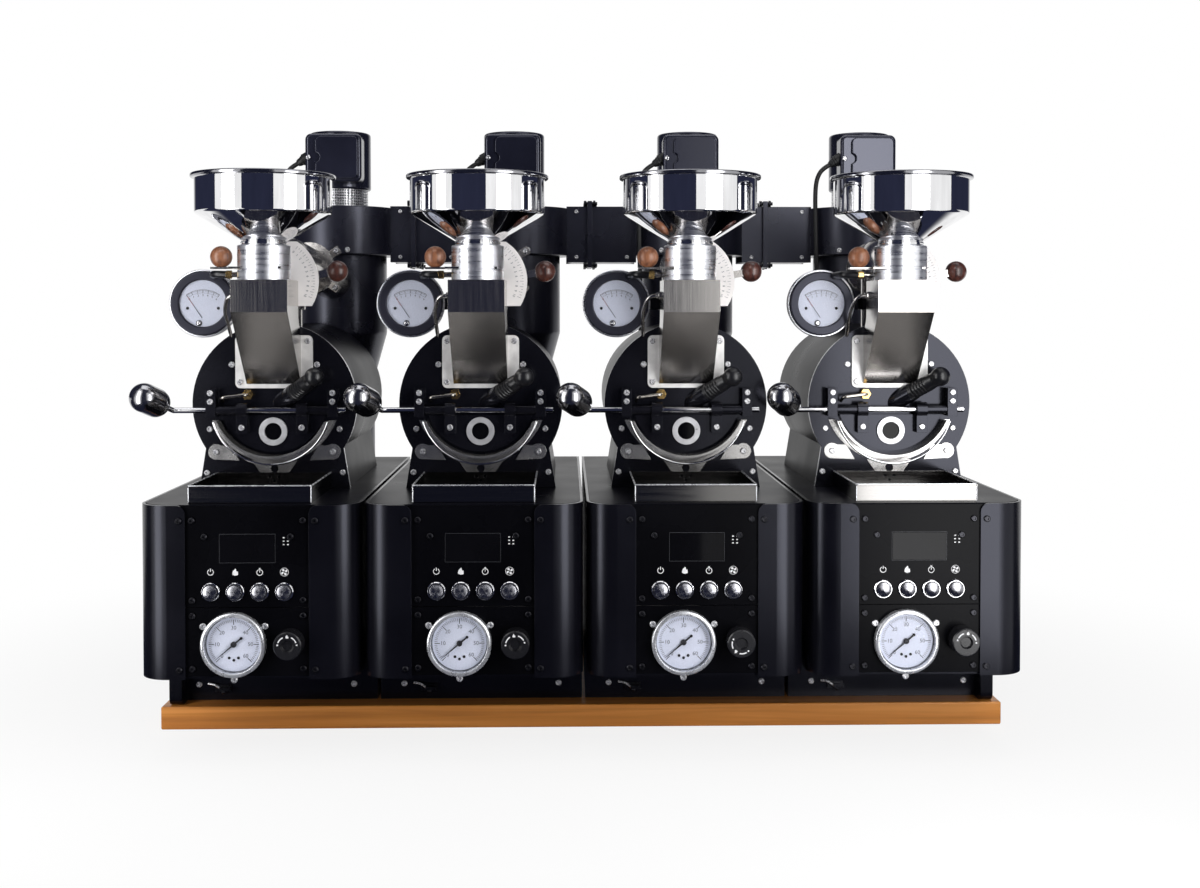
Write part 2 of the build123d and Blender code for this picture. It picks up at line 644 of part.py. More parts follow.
def discharge_trough():
    """Stainless half collar round the door, bolted to the front plate by three lugs."""
    centre = Pos(0, DOOR_CENTRE_Z)
    below = Pos(0, TROUGH_HIGH - 100) * Rectangle(300, 200)
    lip = (centre * Circle(TROUGH_OUTER) - centre * Circle(TROUGH_INNER)) & below
    back = (centre * Circle(TROUGH_OUTER + 7)) & below
    for side in (-1, 1):
        back += Pos(side * LUG_X, LUG_Z) * Circle(LUG_RADIUS)
        web = [(40 * side, 303), (66 * side, 304.2), (72 * side, 320), (50 * side, 320)]
        back += Polygon(*web[::side], align=None)
    back += Polygon((-15, 287), (15, 287), (26, 303), (-26, 303), align=None)
    back -= centre * Circle(TROUGH_INNER)
    back -= Pos(0, 293.4) * Circle(4.6)
    flange_front = PLATE_FRONT - 2
    return [upright(lip, TROUGH_FRONT, flange_front) + upright(back, flange_front, PLATE_FRONT)]


def bean_trier():
    """Sampling scoop with its ribbed handle."""
    scoop = Pos(0, 0, (TRIER_COLLAR + FIT - TRIER_INSIDE) / 2)
    scoop *= Cylinder(TRIER_RADIUS, TRIER_INSIDE + TRIER_COLLAR + FIT)
    trough = Pos(0, 0, -TRIER_INSIDE / 2 - 10) * Cylinder(TRIER_RADIUS - 1.5, 38)
    mouth = Pos(0, 8, -TRIER_INSIDE / 2 - 10) * Box(20, 16, 38)
    profile = [(0, TRIER_COLLAR + FIT), (TRIER_COLLAR_RADIUS - 0.5, TRIER_COLLAR + FIT),
               (TRIER_COLLAR_RADIUS - 0.5, TRIER_COLLAR + 4)]
    rib_pitch = 4.0
    for k in range(5):
        foot = TRIER_COLLAR + 5 + rib_pitch * k
        profile += [(TRIER_HANDLE_RADIUS - 1.4, foot), (TRIER_HANDLE_RADIUS, foot + 1),
                    (TRIER_HANDLE_RADIUS, foot + 3)]
    knob_at = TRIER_HANDLE_END - TRIER_KNOB_RADIUS
    profile += [(TRIER_HANDLE_RADIUS - 0.8, knob_at - 9), (TRIER_KNOB_RADIUS, knob_at), (0, knob_at)]
    handle = turned(profile) + Pos(0, 0, knob_at) * Sphere(TRIER_KNOB_RADIUS)
    return [trier_frame() * (scoop - trough - mouth), trier_frame() * handle]


# Feed: hopper, collars, gate and chute

def feed_hopper():
    """Polished funnel on two turned collars; the gate slides in the lower one."""
    funnel = turned((
        (FEED_BORE, COLLAR_TOP),
        (FEED_BORE + 2.2, COLLAR_TOP),
        (HOPPER_RADIUS, HOPPER_CONE_TOP),
        (HOPPER_RADIUS, HOPPER_TOP - 4),
        (HOPPER_RIM_RADIUS - 1, HOPPER_TOP - 4),
        (HOPPER_RIM_RADIUS, HOPPER_TOP - 2),
        (HOPPER_RIM_RADIUS - 1, HOPPER_TOP),
        (HOPPER_RADIUS - 1.5, HOPPER_TOP),
        (HOPPER_RADIUS - 1.5, HOPPER_CONE_TOP + 0.8),
        (FEED_BORE, COLLAR_TOP + 1.4),
    ), standing(0, FEED_Y))
    lower = rod_z(COLLAR_RADIUS, CHUTE_TOP, GATE_HIGH, 0, FEED_Y)
    lower -= rod_z(FEED_BORE, CHUTE_TOP - 1, GATE_HIGH + 1, 0, FEED_Y)
    lower -= block(-COLLAR_RADIUS - 1, GATE_RIGHT + FIT,
                   FEED_Y - GATE_HALF - FIT, FEED_Y + GATE_HALF + FIT,
                   GATE_LOW - FIT, GATE_HIGH + 1)
    upper = rod_z(COLLAR_RADIUS, GATE_HIGH, COLLAR_TOP, 0, FEED_Y)
    upper -= rod_z(FEED_BORE, GATE_HIGH - 1, COLLAR_TOP + 1, 0, FEED_Y)
    return [funnel, lower, upper]


def hopper_gate():
    """Sliding plate that shuts the hopper's neck, with its wooden ball."""
    high = GATE_HIGH - FIT
    plate = block(GATE_LEFT, GATE_RIGHT, FEED_Y - GATE_HALF, FEED_Y + GATE_HALF, GATE_LOW, high)
    for side in (-1, 1):
        plate -= block(GATE_LEFT - 1, -COLLAR_RADIUS - 6, FEED_Y + side * 14 - 8, FEED_Y + side * 14 + 8,
                       GATE_LOW - 1, high + 1)
    knob = ball(GATE_BALL_X, FEED_Y, high + BALL_RADIUS - 0.8)
    knob -= block(-80, -20, 60, 120, high - 20, high)
    return [plate, knob]


def feed_chute():
    """Folded stainless chute from the collar down to the drum's front plate."""
    slant = ((64, CHUTE_TOP), (64, 473), (143, 391), (PLATE_FRONT, 391),
             (PLATE_FRONT, 440), (128, 466), (128, CHUTE_TOP))
    inside = ((65.5, CHUTE_TOP - CHUTE_SHEET), (65.5, 473.6), (143.7, 392.5), (PLATE_FRONT + 1, 392.5),
              (PLATE_FRONT + 1, 436), (126.5, 465.6), (126.5, CHUTE_TOP - CHUTE_SHEET))
    chute = sideways(slant, CHUTE_HALF) - sideways(inside, CHUTE_HALF - CHUTE_SHEET)
    chute -= rod_z(FEED_BORE, CHUTE_TOP - 5, CHUTE_TOP + 1, 0, FEED_Y)
    flange_z = (FLANGE_LOW + FLANGE_HIGH) / 2
    flange = Pos(0, flange_z) * RectangleRounded(2 * FLANGE_HALF, FLANGE_HIGH - FLANGE_LOW, 6)
    hole = Pos(0, (391 + 440) / 2) * Rectangle(2 * CHUTE_HALF - 1, 440 - 391 - 1)
    flange = upright(flange - hole, FLANGE_FRONT, PLATE_FRONT)
    flange -= trier_frame() * Cylinder(TRIER_COLLAR_RADIUS + 0.5, 80)
    chute += flange
    chute -= block(-CHUTE_HALF + CHUTE_SHEET, CHUTE_HALF - CHUTE_SHEET, FLANGE_FRONT - 1, PLATE_FRONT + 1,
                   THROAT_LOW, THROAT_HIGH)
    return [chute, scale_plate()]


def sideways(points, half):
    """Solid cut from a (y, z) outline, equally to both sides of the centre."""
    return extrude(Plane.YZ.offset(-half) * Polygon(*points, align=None), 2 * half)


def scale_plate():
    """Flat dial plate behind the chute, for the damper's lever."""
    sketch = Pos(0, SCALE_CENTRE_Z) * Circle(SCALE_RADIUS)
    middle = Pos((SCALE_LEFT + SCALE_RADIUS) / 2, (SCALE_LOW + SCALE_HIGH) / 2)
    sketch &= middle * RectangleRounded(SCALE_RADIUS - SCALE_LEFT, SCALE_HIGH - SCALE_LOW, 6)
    return upright(sketch, SCALE_FRONT, SCALE_REAR)


def damper():
    """Lever with its wooden ball, and the shaft and flap that it turns in the exhaust pipe."""
    shaft = rod_y(3.0, DAMPER_FRONT, RISER_Y + PIPE_RADIUS + 2, 0, DAMPER_Z)
    hub = rod_y(7.0, DAMPER_FRONT, DAMPER_FRONT + 5, 0, DAMPER_Z)
    flap = rod_y(FLAP_RADIUS, 0, 1.6, 0, 0)
    flap = Pos(0, RISER_Y, DAMPER_Z) * Rot(0, 0, 90) * Pos(0, -0.8, 0) * flap
    bar = block(0, DAMPER_REACH - 6, DAMPER_FRONT, DAMPER_FRONT + 3, -4, 4)
    turn = Pos(0, 0, DAMPER_Z) * Rot(0, -DAMPER_ANGLE, 0)
    stub = rod_x(2.5, DAMPER_REACH - 22, DAMPER_REACH, DAMPER_BALL_Y, 0)
    stub += block(DAMPER_REACH - 22, DAMPER_REACH - 14, DAMPER_FRONT, DAMPER_BALL_Y + 2.5, -2.5, 2.5)
    lever = turn * (bar + stub)
    knob = turn * ball(DAMPER_REACH, DAMPER_BALL_Y, 0)
    return [shaft + hub + flap + lever - knob, knob]


# Exhaust

def exhaust_pipe():
    """Riser and bend from the drum housing to the cyclone, with a clamp ring."""
    bend = Vector(0, RISER_Y, PIPE_TOP)
    end = Vector(STACK_X, STACK_Y - 30, 512)
    path = FilletPolyline((0, RISER_Y, DRUM_Z + 60), bend, end, radius=PIPE_BEND)
    pipe = sweep((path ^ 0) * Circle(PIPE_RADIUS), path)
    pipe -= sweep((path ^ 0) * Circle(PIPE_RADIUS - PIPE_SHEET), path)
    pipe -= rod_y(JACKET_RADIUS + 0.05, PLATE_REAR - 20, JACKET_REAR, 0, DRUM_Z)
    pipe -= rod_z(CYCLONE_RADIUS + 0.05, CYCLONE_LOW - 20, CYCLONE_TOP + 20, STACK_X, STACK_Y)
    pipe -= rod_y(3.0 + FIT, RISER_Y - 40, RISER_Y + 40, 0, DAMPER_Z)
    run = (end - bend).normalized()
    ring_frame = Plane(origin=bend + run * PIPE_RING_AT, x_dir=run.cross(Vector(0, 0, 1)), z_dir=run)
    ring = ring_frame * (Cylinder(PIPE_RADIUS + 8, 7) - Cylinder(PIPE_RADIUS + 0.05, 9))
    return [pipe, ring]


def exhaust_blower(n):
    """Chaff cup, cyclone, blower, cooling cage, motor and its junction box, one above the other."""
    cage = rod_z(CAGE_RADIUS, BLOWER_TOP, CAGE_TOP, STACK_X, STACK_Y)
    cage -= rod_z(CAGE_RADIUS - STACK_WALL, BLOWER_TOP - 1, CAGE_TOP + 1, STACK_X, STACK_Y)
    motor = rod_z(MOTOR_RADIUS, CAGE_TOP, MOTOR_TOP, STACK_X, STACK_Y)
    motor = fillet(motor.edges().group_by(Axis.Z)[-1], 3)
    return [chaff_cup(), cyclone(), blower_drum(n), cage, motor] + junction_box()


def chaff_cup():
    """Closed cup that catches the chaff under the cyclone."""
    bore = CONE_FOOT_RADIUS - STACK_WALL
    inner = CUP_RADIUS - STACK_WALL
    lid = CONE_FOOT - STACK_WALL
    floor = DECK_TOP + STACK_WALL
    return turned(((0, DECK_TOP), (CUP_RADIUS, DECK_TOP), (CUP_RADIUS, CONE_FOOT), (bore, CONE_FOOT),
                   (bore, lid), (inner, lid), (inner, floor), (0, floor)), standing(STACK_X, STACK_Y))


def cyclone():
    """Cone and cylinder that spin the chaff out of the exhaust air."""
    bore = CONE_FOOT_RADIUS - STACK_WALL
    lip = CONE_FOOT_RADIUS + 6
    lip_top = CONE_FOOT + 4
    inner = CYCLONE_RADIUS - STACK_WALL
    return turned(((bore, CONE_FOOT), (lip, CONE_FOOT), (lip, lip_top), (CONE_FOOT_RADIUS, lip_top),
                   (CYCLONE_RADIUS, CYCLONE_LOW), (CYCLONE_RADIUS, CYCLONE_TOP), (inner, CYCLONE_TOP),
                   (inner, CYCLONE_LOW), (bore, lip_top)), standing(STACK_X, STACK_Y))


def blower_drum(n):
    """Hollow blower housing, open to the cyclone below and to the duct on the sides that have one."""
    drum = rod_z(BLOWER_RADIUS, CYCLONE_TOP, BLOWER_TOP, STACK_X, STACK_Y)
    drum = chamfer(drum.edges(), 1.5)
    drum -= rod_z(BLOWER_RADIUS - STACK_WALL, CYCLONE_TOP + STACK_WALL, BLOWER_TOP - STACK_WALL,
                  STACK_X, STACK_Y)
    drum -= rod_z(BLOWER_INLET_RADIUS, CYCLONE_TOP - 1, CYCLONE_TOP + 2 * STACK_WALL, STACK_X, STACK_Y)
    for side in (-1, 1):
        if 0 <= n + side < STATION_COUNT:
            ends = sorted((STACK_X, STACK_X + side * 2 * BLOWER_RADIUS))
            drum -= block(ends[0], ends[1], DUCT_FRONT + DUCT_SHEET, DUCT_REAR - DUCT_SHEET,
                          CYCLONE_TOP + 2 * STACK_WALL, BLOWER_TOP - 2 * STACK_WALL)
    return drum


def junction_box():
    """Terminal box on the motor with its raised lid, and the glands at both ends of the lead."""
    body = block(STACK_X - JUNCTION_HALF, STACK_X + JUNCTION_HALF, JUNCTION_FRONT, JUNCTION_REAR,
                 JUNCTION_LOW, JUNCTION_HIGH)
    body = fillet(body.edges().filter_by(Axis.Y), 5)
    body -= rod_z(MOTOR_RADIUS, CAGE_TOP, MOTOR_TOP, STACK_X, STACK_Y)
    side = STACK_X - JUNCTION_HALF
    lid = block(side + LID_LEFT, STACK_X + JUNCTION_HALF - LID_MARGIN, JUNCTION_FRONT - LID_PROUD,
                JUNCTION_FRONT, JUNCTION_LOW + LID_MARGIN, JUNCTION_HIGH - LID_MARGIN)
    lid = fillet(lid.edges().filter_by(Axis.Y), 7)
    lid = fillet(lid.faces().sort_by(Axis.Y)[0].edges(), LID_PROUD - 1)
    lid -= rod_y(6.5, JUNCTION_FRONT - LID_PROUD - 1, JUNCTION_FRONT + 1, side + LID_LEFT - 1,
                 (JUNCTION_LOW + JUNCTION_HIGH) / 2)
    tilt = math.radians(GLAND_TILT)
    way = (-math.cos(tilt), 0, -math.sin(tilt))
    gland = Plane(origin=(side, GLAND_Y, GLAND_Z), x_dir=(0, 1, 0), z_dir=way)
    gland *= turned(((0, -6), (8, -6), (8, 5), (5.5, 7),
                     (LEAD_RADIUS + 1, GLAND_LENGTH), (0, GLAND_LENGTH)))
    gland -= block(side, side + 2 * JUNCTION_HALF, JUNCTION_FRONT, JUNCTION_REAR,
                   JUNCTION_LOW, JUNCTION_HIGH)
    foot = turned(((0, DECK_TOP), (9, DECK_TOP), (9, DECK_TOP + 6), (6, DECK_TOP + 8),
                   (LEAD_RADIUS + 1, DECK_GLAND_TOP), (0, DECK_GLAND_TOP)), standing(*DECK_GLAND))
    return [body, lid, gland, foot]


def lead_radii():
    """Bend radius at each inner point of the lead's route, as large as its runs allow."""
    points = [Vector(*point) for point in LEAD_ROUTE]
    radii = []
    for before, here, after in zip(points, points[1:], points[2:]):
        turn = math.radians((here - before).get_angle(after - here))
        shorter = min((here - before).length, (after - here).length)
        radii.append(LEAD_RUN_SHARE * shorter / math.tan(turn / 2))
    return radii


def motor_lead():
    """Round lead from the motor's gland down to the deck's gland."""
    path = FilletPolyline(*LEAD_ROUTE, radius=lead_radii())
    tube = sweep((path ^ 0) * Circle(LEAD_RADIUS), path)
    print("lead radii", [round(r, 1) for r in lead_radii()], "length", round(path.length, 1),
          "volume share", round(tube.volume / (math.pi * LEAD_RADIUS ** 2 * path.length), 4))
    return [tube]


def exhaust_manifold():
    """Duct along the blowers, in lengths flanged on three sides, with the outlet at the back."""
    first = station_x(0) + STACK_X
    last = station_x(STATION_COUNT - 1) + STACK_X
    duct = block(first, last, DUCT_FRONT, DUCT_REAR, DUCT_LOW, DUCT_HIGH)
    for n in range(STATION_COUNT - 1):
        at = station_x(n) + DUCT_FLANGE_AT
        duct += block(at - SHEET, at + SHEET, DUCT_FRONT - DUCT_FLANGE_LIP, DUCT_REAR,
                      DUCT_LOW - DUCT_FLANGE_LIP, DUCT_HIGH + DUCT_FLANGE_LIP)
    outlet_x = (first + last) / 2
    outlet_z = (DUCT_LOW + DUCT_HIGH) / 2
    duct += rod_y(OUTLET_RADIUS, DUCT_REAR - 1, DUCT_REAR + OUTLET_LENGTH, outlet_x, outlet_z)
    duct -= block(first - 1, last + 1, DUCT_FRONT + DUCT_SHEET, DUCT_REAR - DUCT_SHEET,
                  DUCT_LOW + DUCT_SHEET, DUCT_HIGH - DUCT_SHEET)
    duct -= rod_y(OUTLET_RADIUS - DUCT_SHEET, DUCT_REAR - 5, DUCT_REAR + OUTLET_LENGTH + 1,
                  outlet_x, outlet_z)
    for n in range(STATION_COUNT):
        duct -= rod_z(BLOWER_RADIUS, DUCT_LOW - 1, DUCT_HIGH + 1, station_x(n) + STACK_X, STACK_Y)
    return [solid for solid in duct.solids() if solid.volume > 5000]


# Fasteners

def cap_screw(frame):
    """Round screw head with a hexagon socket, standing on a face."""
    head = turned(((0, 0), (SCREW_RADIUS, 0), (SCREW_RADIUS, SCREW_HEIGHT - 0.8),
                   (SCREW_RADIUS - 0.8, SCREW_HEIGHT), (0, SCREW_HEIGHT)))
    socket = extrude(RegularPolygon(SOCKET_RADIUS, 6), SOCKET_DEPTH)
    socket = Pos(0, 0, SCREW_HEIGHT - SOCKET_DEPTH) * socket
    return frame * (head - socket)


def cap_screws():
    """Every visible screw of one station that stays with the cabinet and the drum's front."""
    spots = []
    for side in (-1, 1):
        spots += [(side * 71.0, z, -SHEET) for z in (254.7, 98.0)]
        spots += [(side * 58.0, z, 0.0) for z in (254.7, 170.8, 154.5, 98.6)]
        spots += [(side * 45.0, 237.7, 0.0)]
        spots += [(side * 74.0, 339.0, PLATE_FRONT), (side * 77.5, 289.0, PLATE_FRONT),
                  (side * 48.6, 413.0, PLATE_FRONT)]
        spots += [(side * BLOCK_X, z, BLOCK_FRONT) for z in (381.4, 371.5)]
        spots += [(side * 38.5, z, FLANGE_FRONT) for z in (440.0, 393.0)]
        spots += [(side * LUG_X, LUG_Z, PLATE_FRONT - 2)]
        spots += [(side * 89.0, 44.0, PLINTH_FRONT)]
    for turn in (30, 150, 270):
        x = GAUGE_X + GAUGE_SCREW_RADIUS * math.cos(math.radians(turn))
        z = GAUGE_Z + GAUGE_SCREW_RADIUS * math.sin(math.radians(turn))
        spots.append((x, z, 0.0))
    return [cap_screw(facing(x, z, y)) for x, z, y in spots]


# Placing and writing

def station_x(n):
    """Centre line of station n across the bank."""
    return (n - (STATION_COUNT - 1) / 2) * PITCH


def placed(shapes, n):
    """A station's pieces, moved to station n."""
    return [Pos(station_x(n), -BOARD_MIDDLE, 0) * shape for shape in shapes]


def centred(shapes):
    """Pieces of the whole bank, moved to the origin."""
    return [Pos(0, -BOARD_MIDDLE, 0) * shape for shape in shapes]


def save(node, shapes):
    """Write all solids of a node to one file."""
    solids = [solid for shape in shapes for solid in shape.solids()]
    export_step(Compound(solids), f"parts/{node}.step")


def save_group(node, shapes):
    """Write the same pieces at every station to one node."""
    save(node, [piece for n in range(STATION_COUNT) for piece in placed(shapes, n)])


os.makedirs("parts", exist_ok=True)

save("base_board", centred(base_board()))
save("exhaust_manifold", centred(exhaust_manifold()))
for node, make in (("cabinet_frames", cabinet_frame), ("exhaust_blowers", exhaust_blower)):
    save(node, [piece for n in range(STATION_COUNT) for piece in placed(make(n), n)])

GROUPS = {
    "cabinet_shells": cabinet_shell(),
    "control_panels": control_panel(),
    "pressure_gauges": gas_gauge() + air_gauge(),
    "front_plates": front_plate(),
    "drum_housings": drum_housing(),
    "drum_drives": drum_drive(),
    "discharge_troughs": discharge_trough(),
    "feed_hoppers": feed_hopper(),
    "feed_chutes": feed_chute(),
    "exhaust_pipes": exhaust_pipe(),
    "motor_leads": motor_lead(),
    "cap_screws": cap_screws(),
}
for node, shapes in GROUPS.items():
    save_group(node, shapes)

MOVING = {
    "hopper_gate": hopper_gate(),
    "damper": damper(),
    "bean_trier": bean_trier(),
    "discharge_door": discharge_door(),
    "roasting_drum": roasting_drum(),
    "cooling_tray": cooling_tray(),
    "gas_knob": gas_knob(),
}
for name, x in zip(BUTTON_NAMES, BUTTON_X):
    MOVING[f"{name}_button"] = push_button(x)
for node, shapes in MOVING.items():
    for n in range(STATION_COUNT):
        save(f"{node}_{n + 1}", placed(shapes, n))
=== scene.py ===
import bpy
import math
from mathutils import Matrix, Vector

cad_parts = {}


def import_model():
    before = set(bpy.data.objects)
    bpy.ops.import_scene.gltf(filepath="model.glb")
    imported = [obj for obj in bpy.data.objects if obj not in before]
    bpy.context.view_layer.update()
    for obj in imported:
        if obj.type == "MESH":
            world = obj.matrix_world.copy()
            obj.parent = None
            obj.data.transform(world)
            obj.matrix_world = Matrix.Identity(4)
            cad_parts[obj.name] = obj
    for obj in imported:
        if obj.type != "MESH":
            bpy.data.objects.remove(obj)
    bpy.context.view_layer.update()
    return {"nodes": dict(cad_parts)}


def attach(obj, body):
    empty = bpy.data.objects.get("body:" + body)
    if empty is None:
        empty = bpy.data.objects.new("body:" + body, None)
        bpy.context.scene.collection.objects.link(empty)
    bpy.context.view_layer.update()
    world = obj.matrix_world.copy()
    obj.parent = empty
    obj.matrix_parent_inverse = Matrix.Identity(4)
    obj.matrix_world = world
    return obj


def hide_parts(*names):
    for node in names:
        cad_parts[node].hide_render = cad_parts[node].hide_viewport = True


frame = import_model()

# Sizes are in millimetres in a station's own frame, as in the part's source: x across from the
# station's centre line, y back from the face of its control panel, z up from the table.

STATION_COUNT = 4
PITCH = 236.0
BOARD_MIDDLE = 317.5
DECK_TOP = 271.0

# Nodes whose shape the scene replaces
HOPPERS = "feed_hoppers"
GAUGES = "pressure_gauges"
BLOWERS = "exhaust_blowers"

# Camera at the photograph's viewing point, in metres and degrees
CAMERA_PLACE = (-0.0202, -1.8339, 0.4726)
CAMERA_YAW = 1.353
CAMERA_PITCH = 1.5
CAMERA_LENS = 43.36
CAMERA_SHIFT = -0.078

# Motor lead, its route repeated from the part's source
LEAD_DIAMETER = 6.0
LEAD_ROUTE = (
    (-21.52, 415.0, 670.0),
    (-30.0, 415.0, 665.1),
    (-36.5, 414.7, 656.5),
    (-40.0, 414.2, 644.0),
    (-41.0, 413.0, 622.0),
    (-40.4, 411.0, 585.0),
    (-39.4, 408.0, 520.0),
    (-38.5, 405.4, 441.0),
    (-38.0, 404.0, 363.0),
    (-38.0, 404.0, 286.0),
)

# Feed hopper and its collars
FEED_Y = 93.0
FEED_BORE = 20.0
COLLAR_RADIUS = 29.0
CHUTE_TOP = 508.4
GATE_LOW = 520.7
GATE_HIGH = 523.0
GATE_SLOT_HALF = 21.6
GATE_SLOT_RIGHT = 22.6
COLLAR_TOP = 546.8
HOPPER_RADIUS = 74.6
HOPPER_RIM_RADIUS = 78.8
HOPPER_CONE_TOP = 581.5
HOPPER_TOP = 624.8

# Plinth latch
LATCH_BALL = 2.5
LATCH_ARM = ((-78.0, 147.5, 45.5), (-70.0, 146.0, 44.5), (-64.0, 145.0, 40.5), (-60.0, 144.0, 36.5))

# Discharge trough under the drum's front
DRUM_Z = 367.8
TROUGH_RADIUS = 67.25
TROUGH_FRONT = 122.0
TROUGH_HIGH = 349.0
TROUGH_LIP = 1.3

# Cooling tray
TRAY_HALF = 64.5
TRAY_FRONT = 13.0
TRAY_REAR = 144.0
TRAY_TOP = 289.5
TRAY_EDGE = 0.9
TRAY_CORNER = 0.6

# Gas gauge in the lower panel; ticks are an inner and outer radius, numbers a radius and a size
GAUGE_X = -14.2
GAUGE_Z = 125.0
GAUGE_RADIUS = 34.0
GAUGE_DIAL_RADIUS = 29.6
GAUGE_PROUD = 10.0
GAUGE_FULL = 60
GAUGE_ZERO = 225.0
GAUGE_SWEEP = 270.0
GAUGE_FACE = 2.2
GAUGE_TICKS = (20.6, 26.2)
GAUGE_NUMBERS = (17.4, 5.8)
NEEDLE_AT = 220.0
NEEDLE_TIP = 24.0
NEEDLE_TAIL = -10.5
NEEDLE_LEVEL = (3.6, 4.4)

# Air gauge beside the chute
AIR_X = -80.0
AIR_Z = 483.0
AIR_FRONT = 140.0
AIR_DEPTH = 45.0
AIR_RADIUS = 38.9
AIR_FLANGE_RADIUS = 36.6
AIR_DIAL_RADIUS = 26.8
AIR_BODY_RADIUS = 30.0
AIR_PIVOT = -18.0
AIR_SPREAD = 34.0
AIR_FACE = -3.6
AIR_TICKS = (30.0, 33.6)
AIR_ARCS = ((33.5, 33.8), (29.9, 30.1))
AIR_NUMBERS = (27.4, 3.4)
PIPE_RADIUS = 25.0
RISER_Y = 185.0

# Sensing tube and elbow beside the chute
SENSE_ROUTE = ((-30.0, 110.0, 492.0), (-45.0, 111.0, 491.0), (-51.0, 122.0, 474.0), (-49.5, 145.0, 449.0),
               (-49.0, 158.0, 437.0))
ELBOW_ROUTE = ((-44.0, 108.0, 515.0), (-60.0, 110.0, 515.5), (-66.0, 135.0, 515.0), (-62.0, 187.0, 512.0),
               (-62.0, 187.0, 489.0))

# Blower stack
STACK_X = 27.6
STACK_Y = 462.0
SHEET = 2.0
CUP_RADIUS = 45.0
CONE_FOOT = 326.0
NECK_BORE = 28.0
NECK_RIM = 36.0
NECK_TOP = 330.0
CYCLONE_LOW = 445.0
CYCLONE_TOP = 549.0
CYCLONE_RADIUS = 62.0
BLOWER_RADIUS = 78.0
BLOWER_TOP = 613.0
INLET_BORE = 34.0
BLOWER_SCREWS = (-75, 60, 105, 240)
CAGE_RADIUS = 37.0
CAGE_TOP = 638.0
CAGE_POSTS = (-62, -118, 62, 118)
MOTOR_RADIUS = 41.0
MOTOR_TOP = 715.0
JUNCTION_HALF = 37.0
JUNCTION_LOW = 645.0
JUNCTION_HIGH = 708.5
JUNCTION_FRONT = 399.0
JUNCTION_REAR = 432.0
GLAND_LENGTH = 14.0
GLAND_TILT = 30.0
GLAND_Z = 677.0
LID_X = 32.6
LID_HALF = (28.0, 27.75)
LID_CORNER = 7.0
CORNER_STEPS = 6
LID_PROUD = 5.0
NOTCH_X = 3.6
NOTCH_RADIUS = 6.5
DUCT_FRONT = 430.0
DUCT_LOW = 540.0
DUCT_HIGH = 615.0
DUCT_FLANGE_AT = 130.0
CLAMP_RING = (13.0, 527.3, 301.5)
CLAMP_RADIUS = 33.0

# Panel
BUTTON_X = (-38.5, -12.8, 12.8, 38.5)
BUTTON_Z = 180.0
BUTTON_BEZEL = 3.0
# Dark ring printed round each button, inner and outer radius: painted shade of the gap between cap and
# bezel
BUTTON_GAP_SHADE = (7.4, 8.5)
ICON_Z = 200.6
KNOB_X = 45.0
KNOB_Z = 127.0
KNOB_FACE = 22.0
KNOB_PRINT = 10.1
KNOB_TURNS = (0.0, 8.0, 142.0, -8.0)
DISPLAY_HALF = 28.5
DISPLAY_LOW = 211.0
DISPLAY_HIGH = 240.0
DOT_X = 38.0
DOT_Z = 229.5
DOT_PITCH_X = 4.4
DOT_PITCH_Z = 3.6
PRINT = 0.12

# Damper scale
SCALE_CENTRE_Z = 508.0
SCALE_FRONT = 128.0
SCALE_START = 52.0
SCALE_SWEEP = 74.0
SCALE_TICKS = (46.0, 50.0)
SCALE_NUMBERS = (42.0, 4.0)


# Places

def station_x(n):
    """Centre line of station n across the bank."""
    return (n - (STATION_COUNT - 1) / 2) * PITCH


def world(point, n):
    """A point of station n in metres, in the part's frame."""
    x, y, z = point
    return Vector((station_x(n) + x, y - BOARD_MIDDLE, z)) / 1000


def at_station(point, n=None):
    """A point of the part's frame as millimetres in its station's frame."""
    x = point[0] * 1000
    if n is None:
        n = min(max(round(x / PITCH + (STATION_COUNT - 1) / 2), 0), STATION_COUNT - 1)
    return x - station_x(n), point[1] * 1000 + BOARD_MIDDLE, point[2] * 1000


def facing(x, z, y=0.0):
    """Frame on an upright face, its z axis towards the user."""
    return Matrix(((1, 0, 0, x), (0, 0, -1, y), (0, 1, 0, z), (0, 0, 0, 1)))


def standing(x, y, z=0.0):
    """Upright frame at a point."""
    return Matrix.Translation((x, y, z))


def spin(degrees, axis="Z"):
    """Turn about an axis."""
    return Matrix.Rotation(math.radians(degrees), 4, axis)


def polar(radius, degrees):
    """Point at a radius and an angle."""
    turn = math.radians(degrees)
    return radius * math.cos(turn), radius * math.sin(turn)


# Shapes: each is a list of points and a list of faces

def lathe(profile, place, segments=96):
    """Turned shape from (radius, height) points about the place's z axis."""
    points = []
    rows = []
    for radius, height in profile:
        if radius < 1e-6:
            rows.append([len(points)] * segments)
            points.append(place @ Vector((0, 0, height)))
            continue
        rows.append([len(points) + k for k in range(segments)])
        for k in range(segments):
            points.append(place @ Vector((*polar(radius, 360 * k / segments), height)))
    faces = []
    for low, high in zip(rows, rows[1:]):
        for k in range(segments):
            j = (k + 1) % segments
            faces.append(list(dict.fromkeys((low[k], low[j], high[j], high[k]))))
    return points, faces


def rounded(corners, radius, steps=5):
    """Open outline with every inner corner rounded as far as its runs allow."""
    points = [Vector(corner) for corner in corners]
    line = [points[0]]
    for before, here, after in zip(points, points[1:], points[2:]):
        back = before - here
        ahead = after - here
        reach = min(radius, 0.45 * back.length, 0.45 * ahead.length)
        start = here + back.normalized() * reach
        end = here + ahead.normalized() * reach
        for k in range(steps + 1):
            t = k / steps
            line.append(start * (1 - t) ** 2 + here * 2 * t * (1 - t) + end * t ** 2)
    line.append(points[-1])
    return [tuple(point) for point in line]


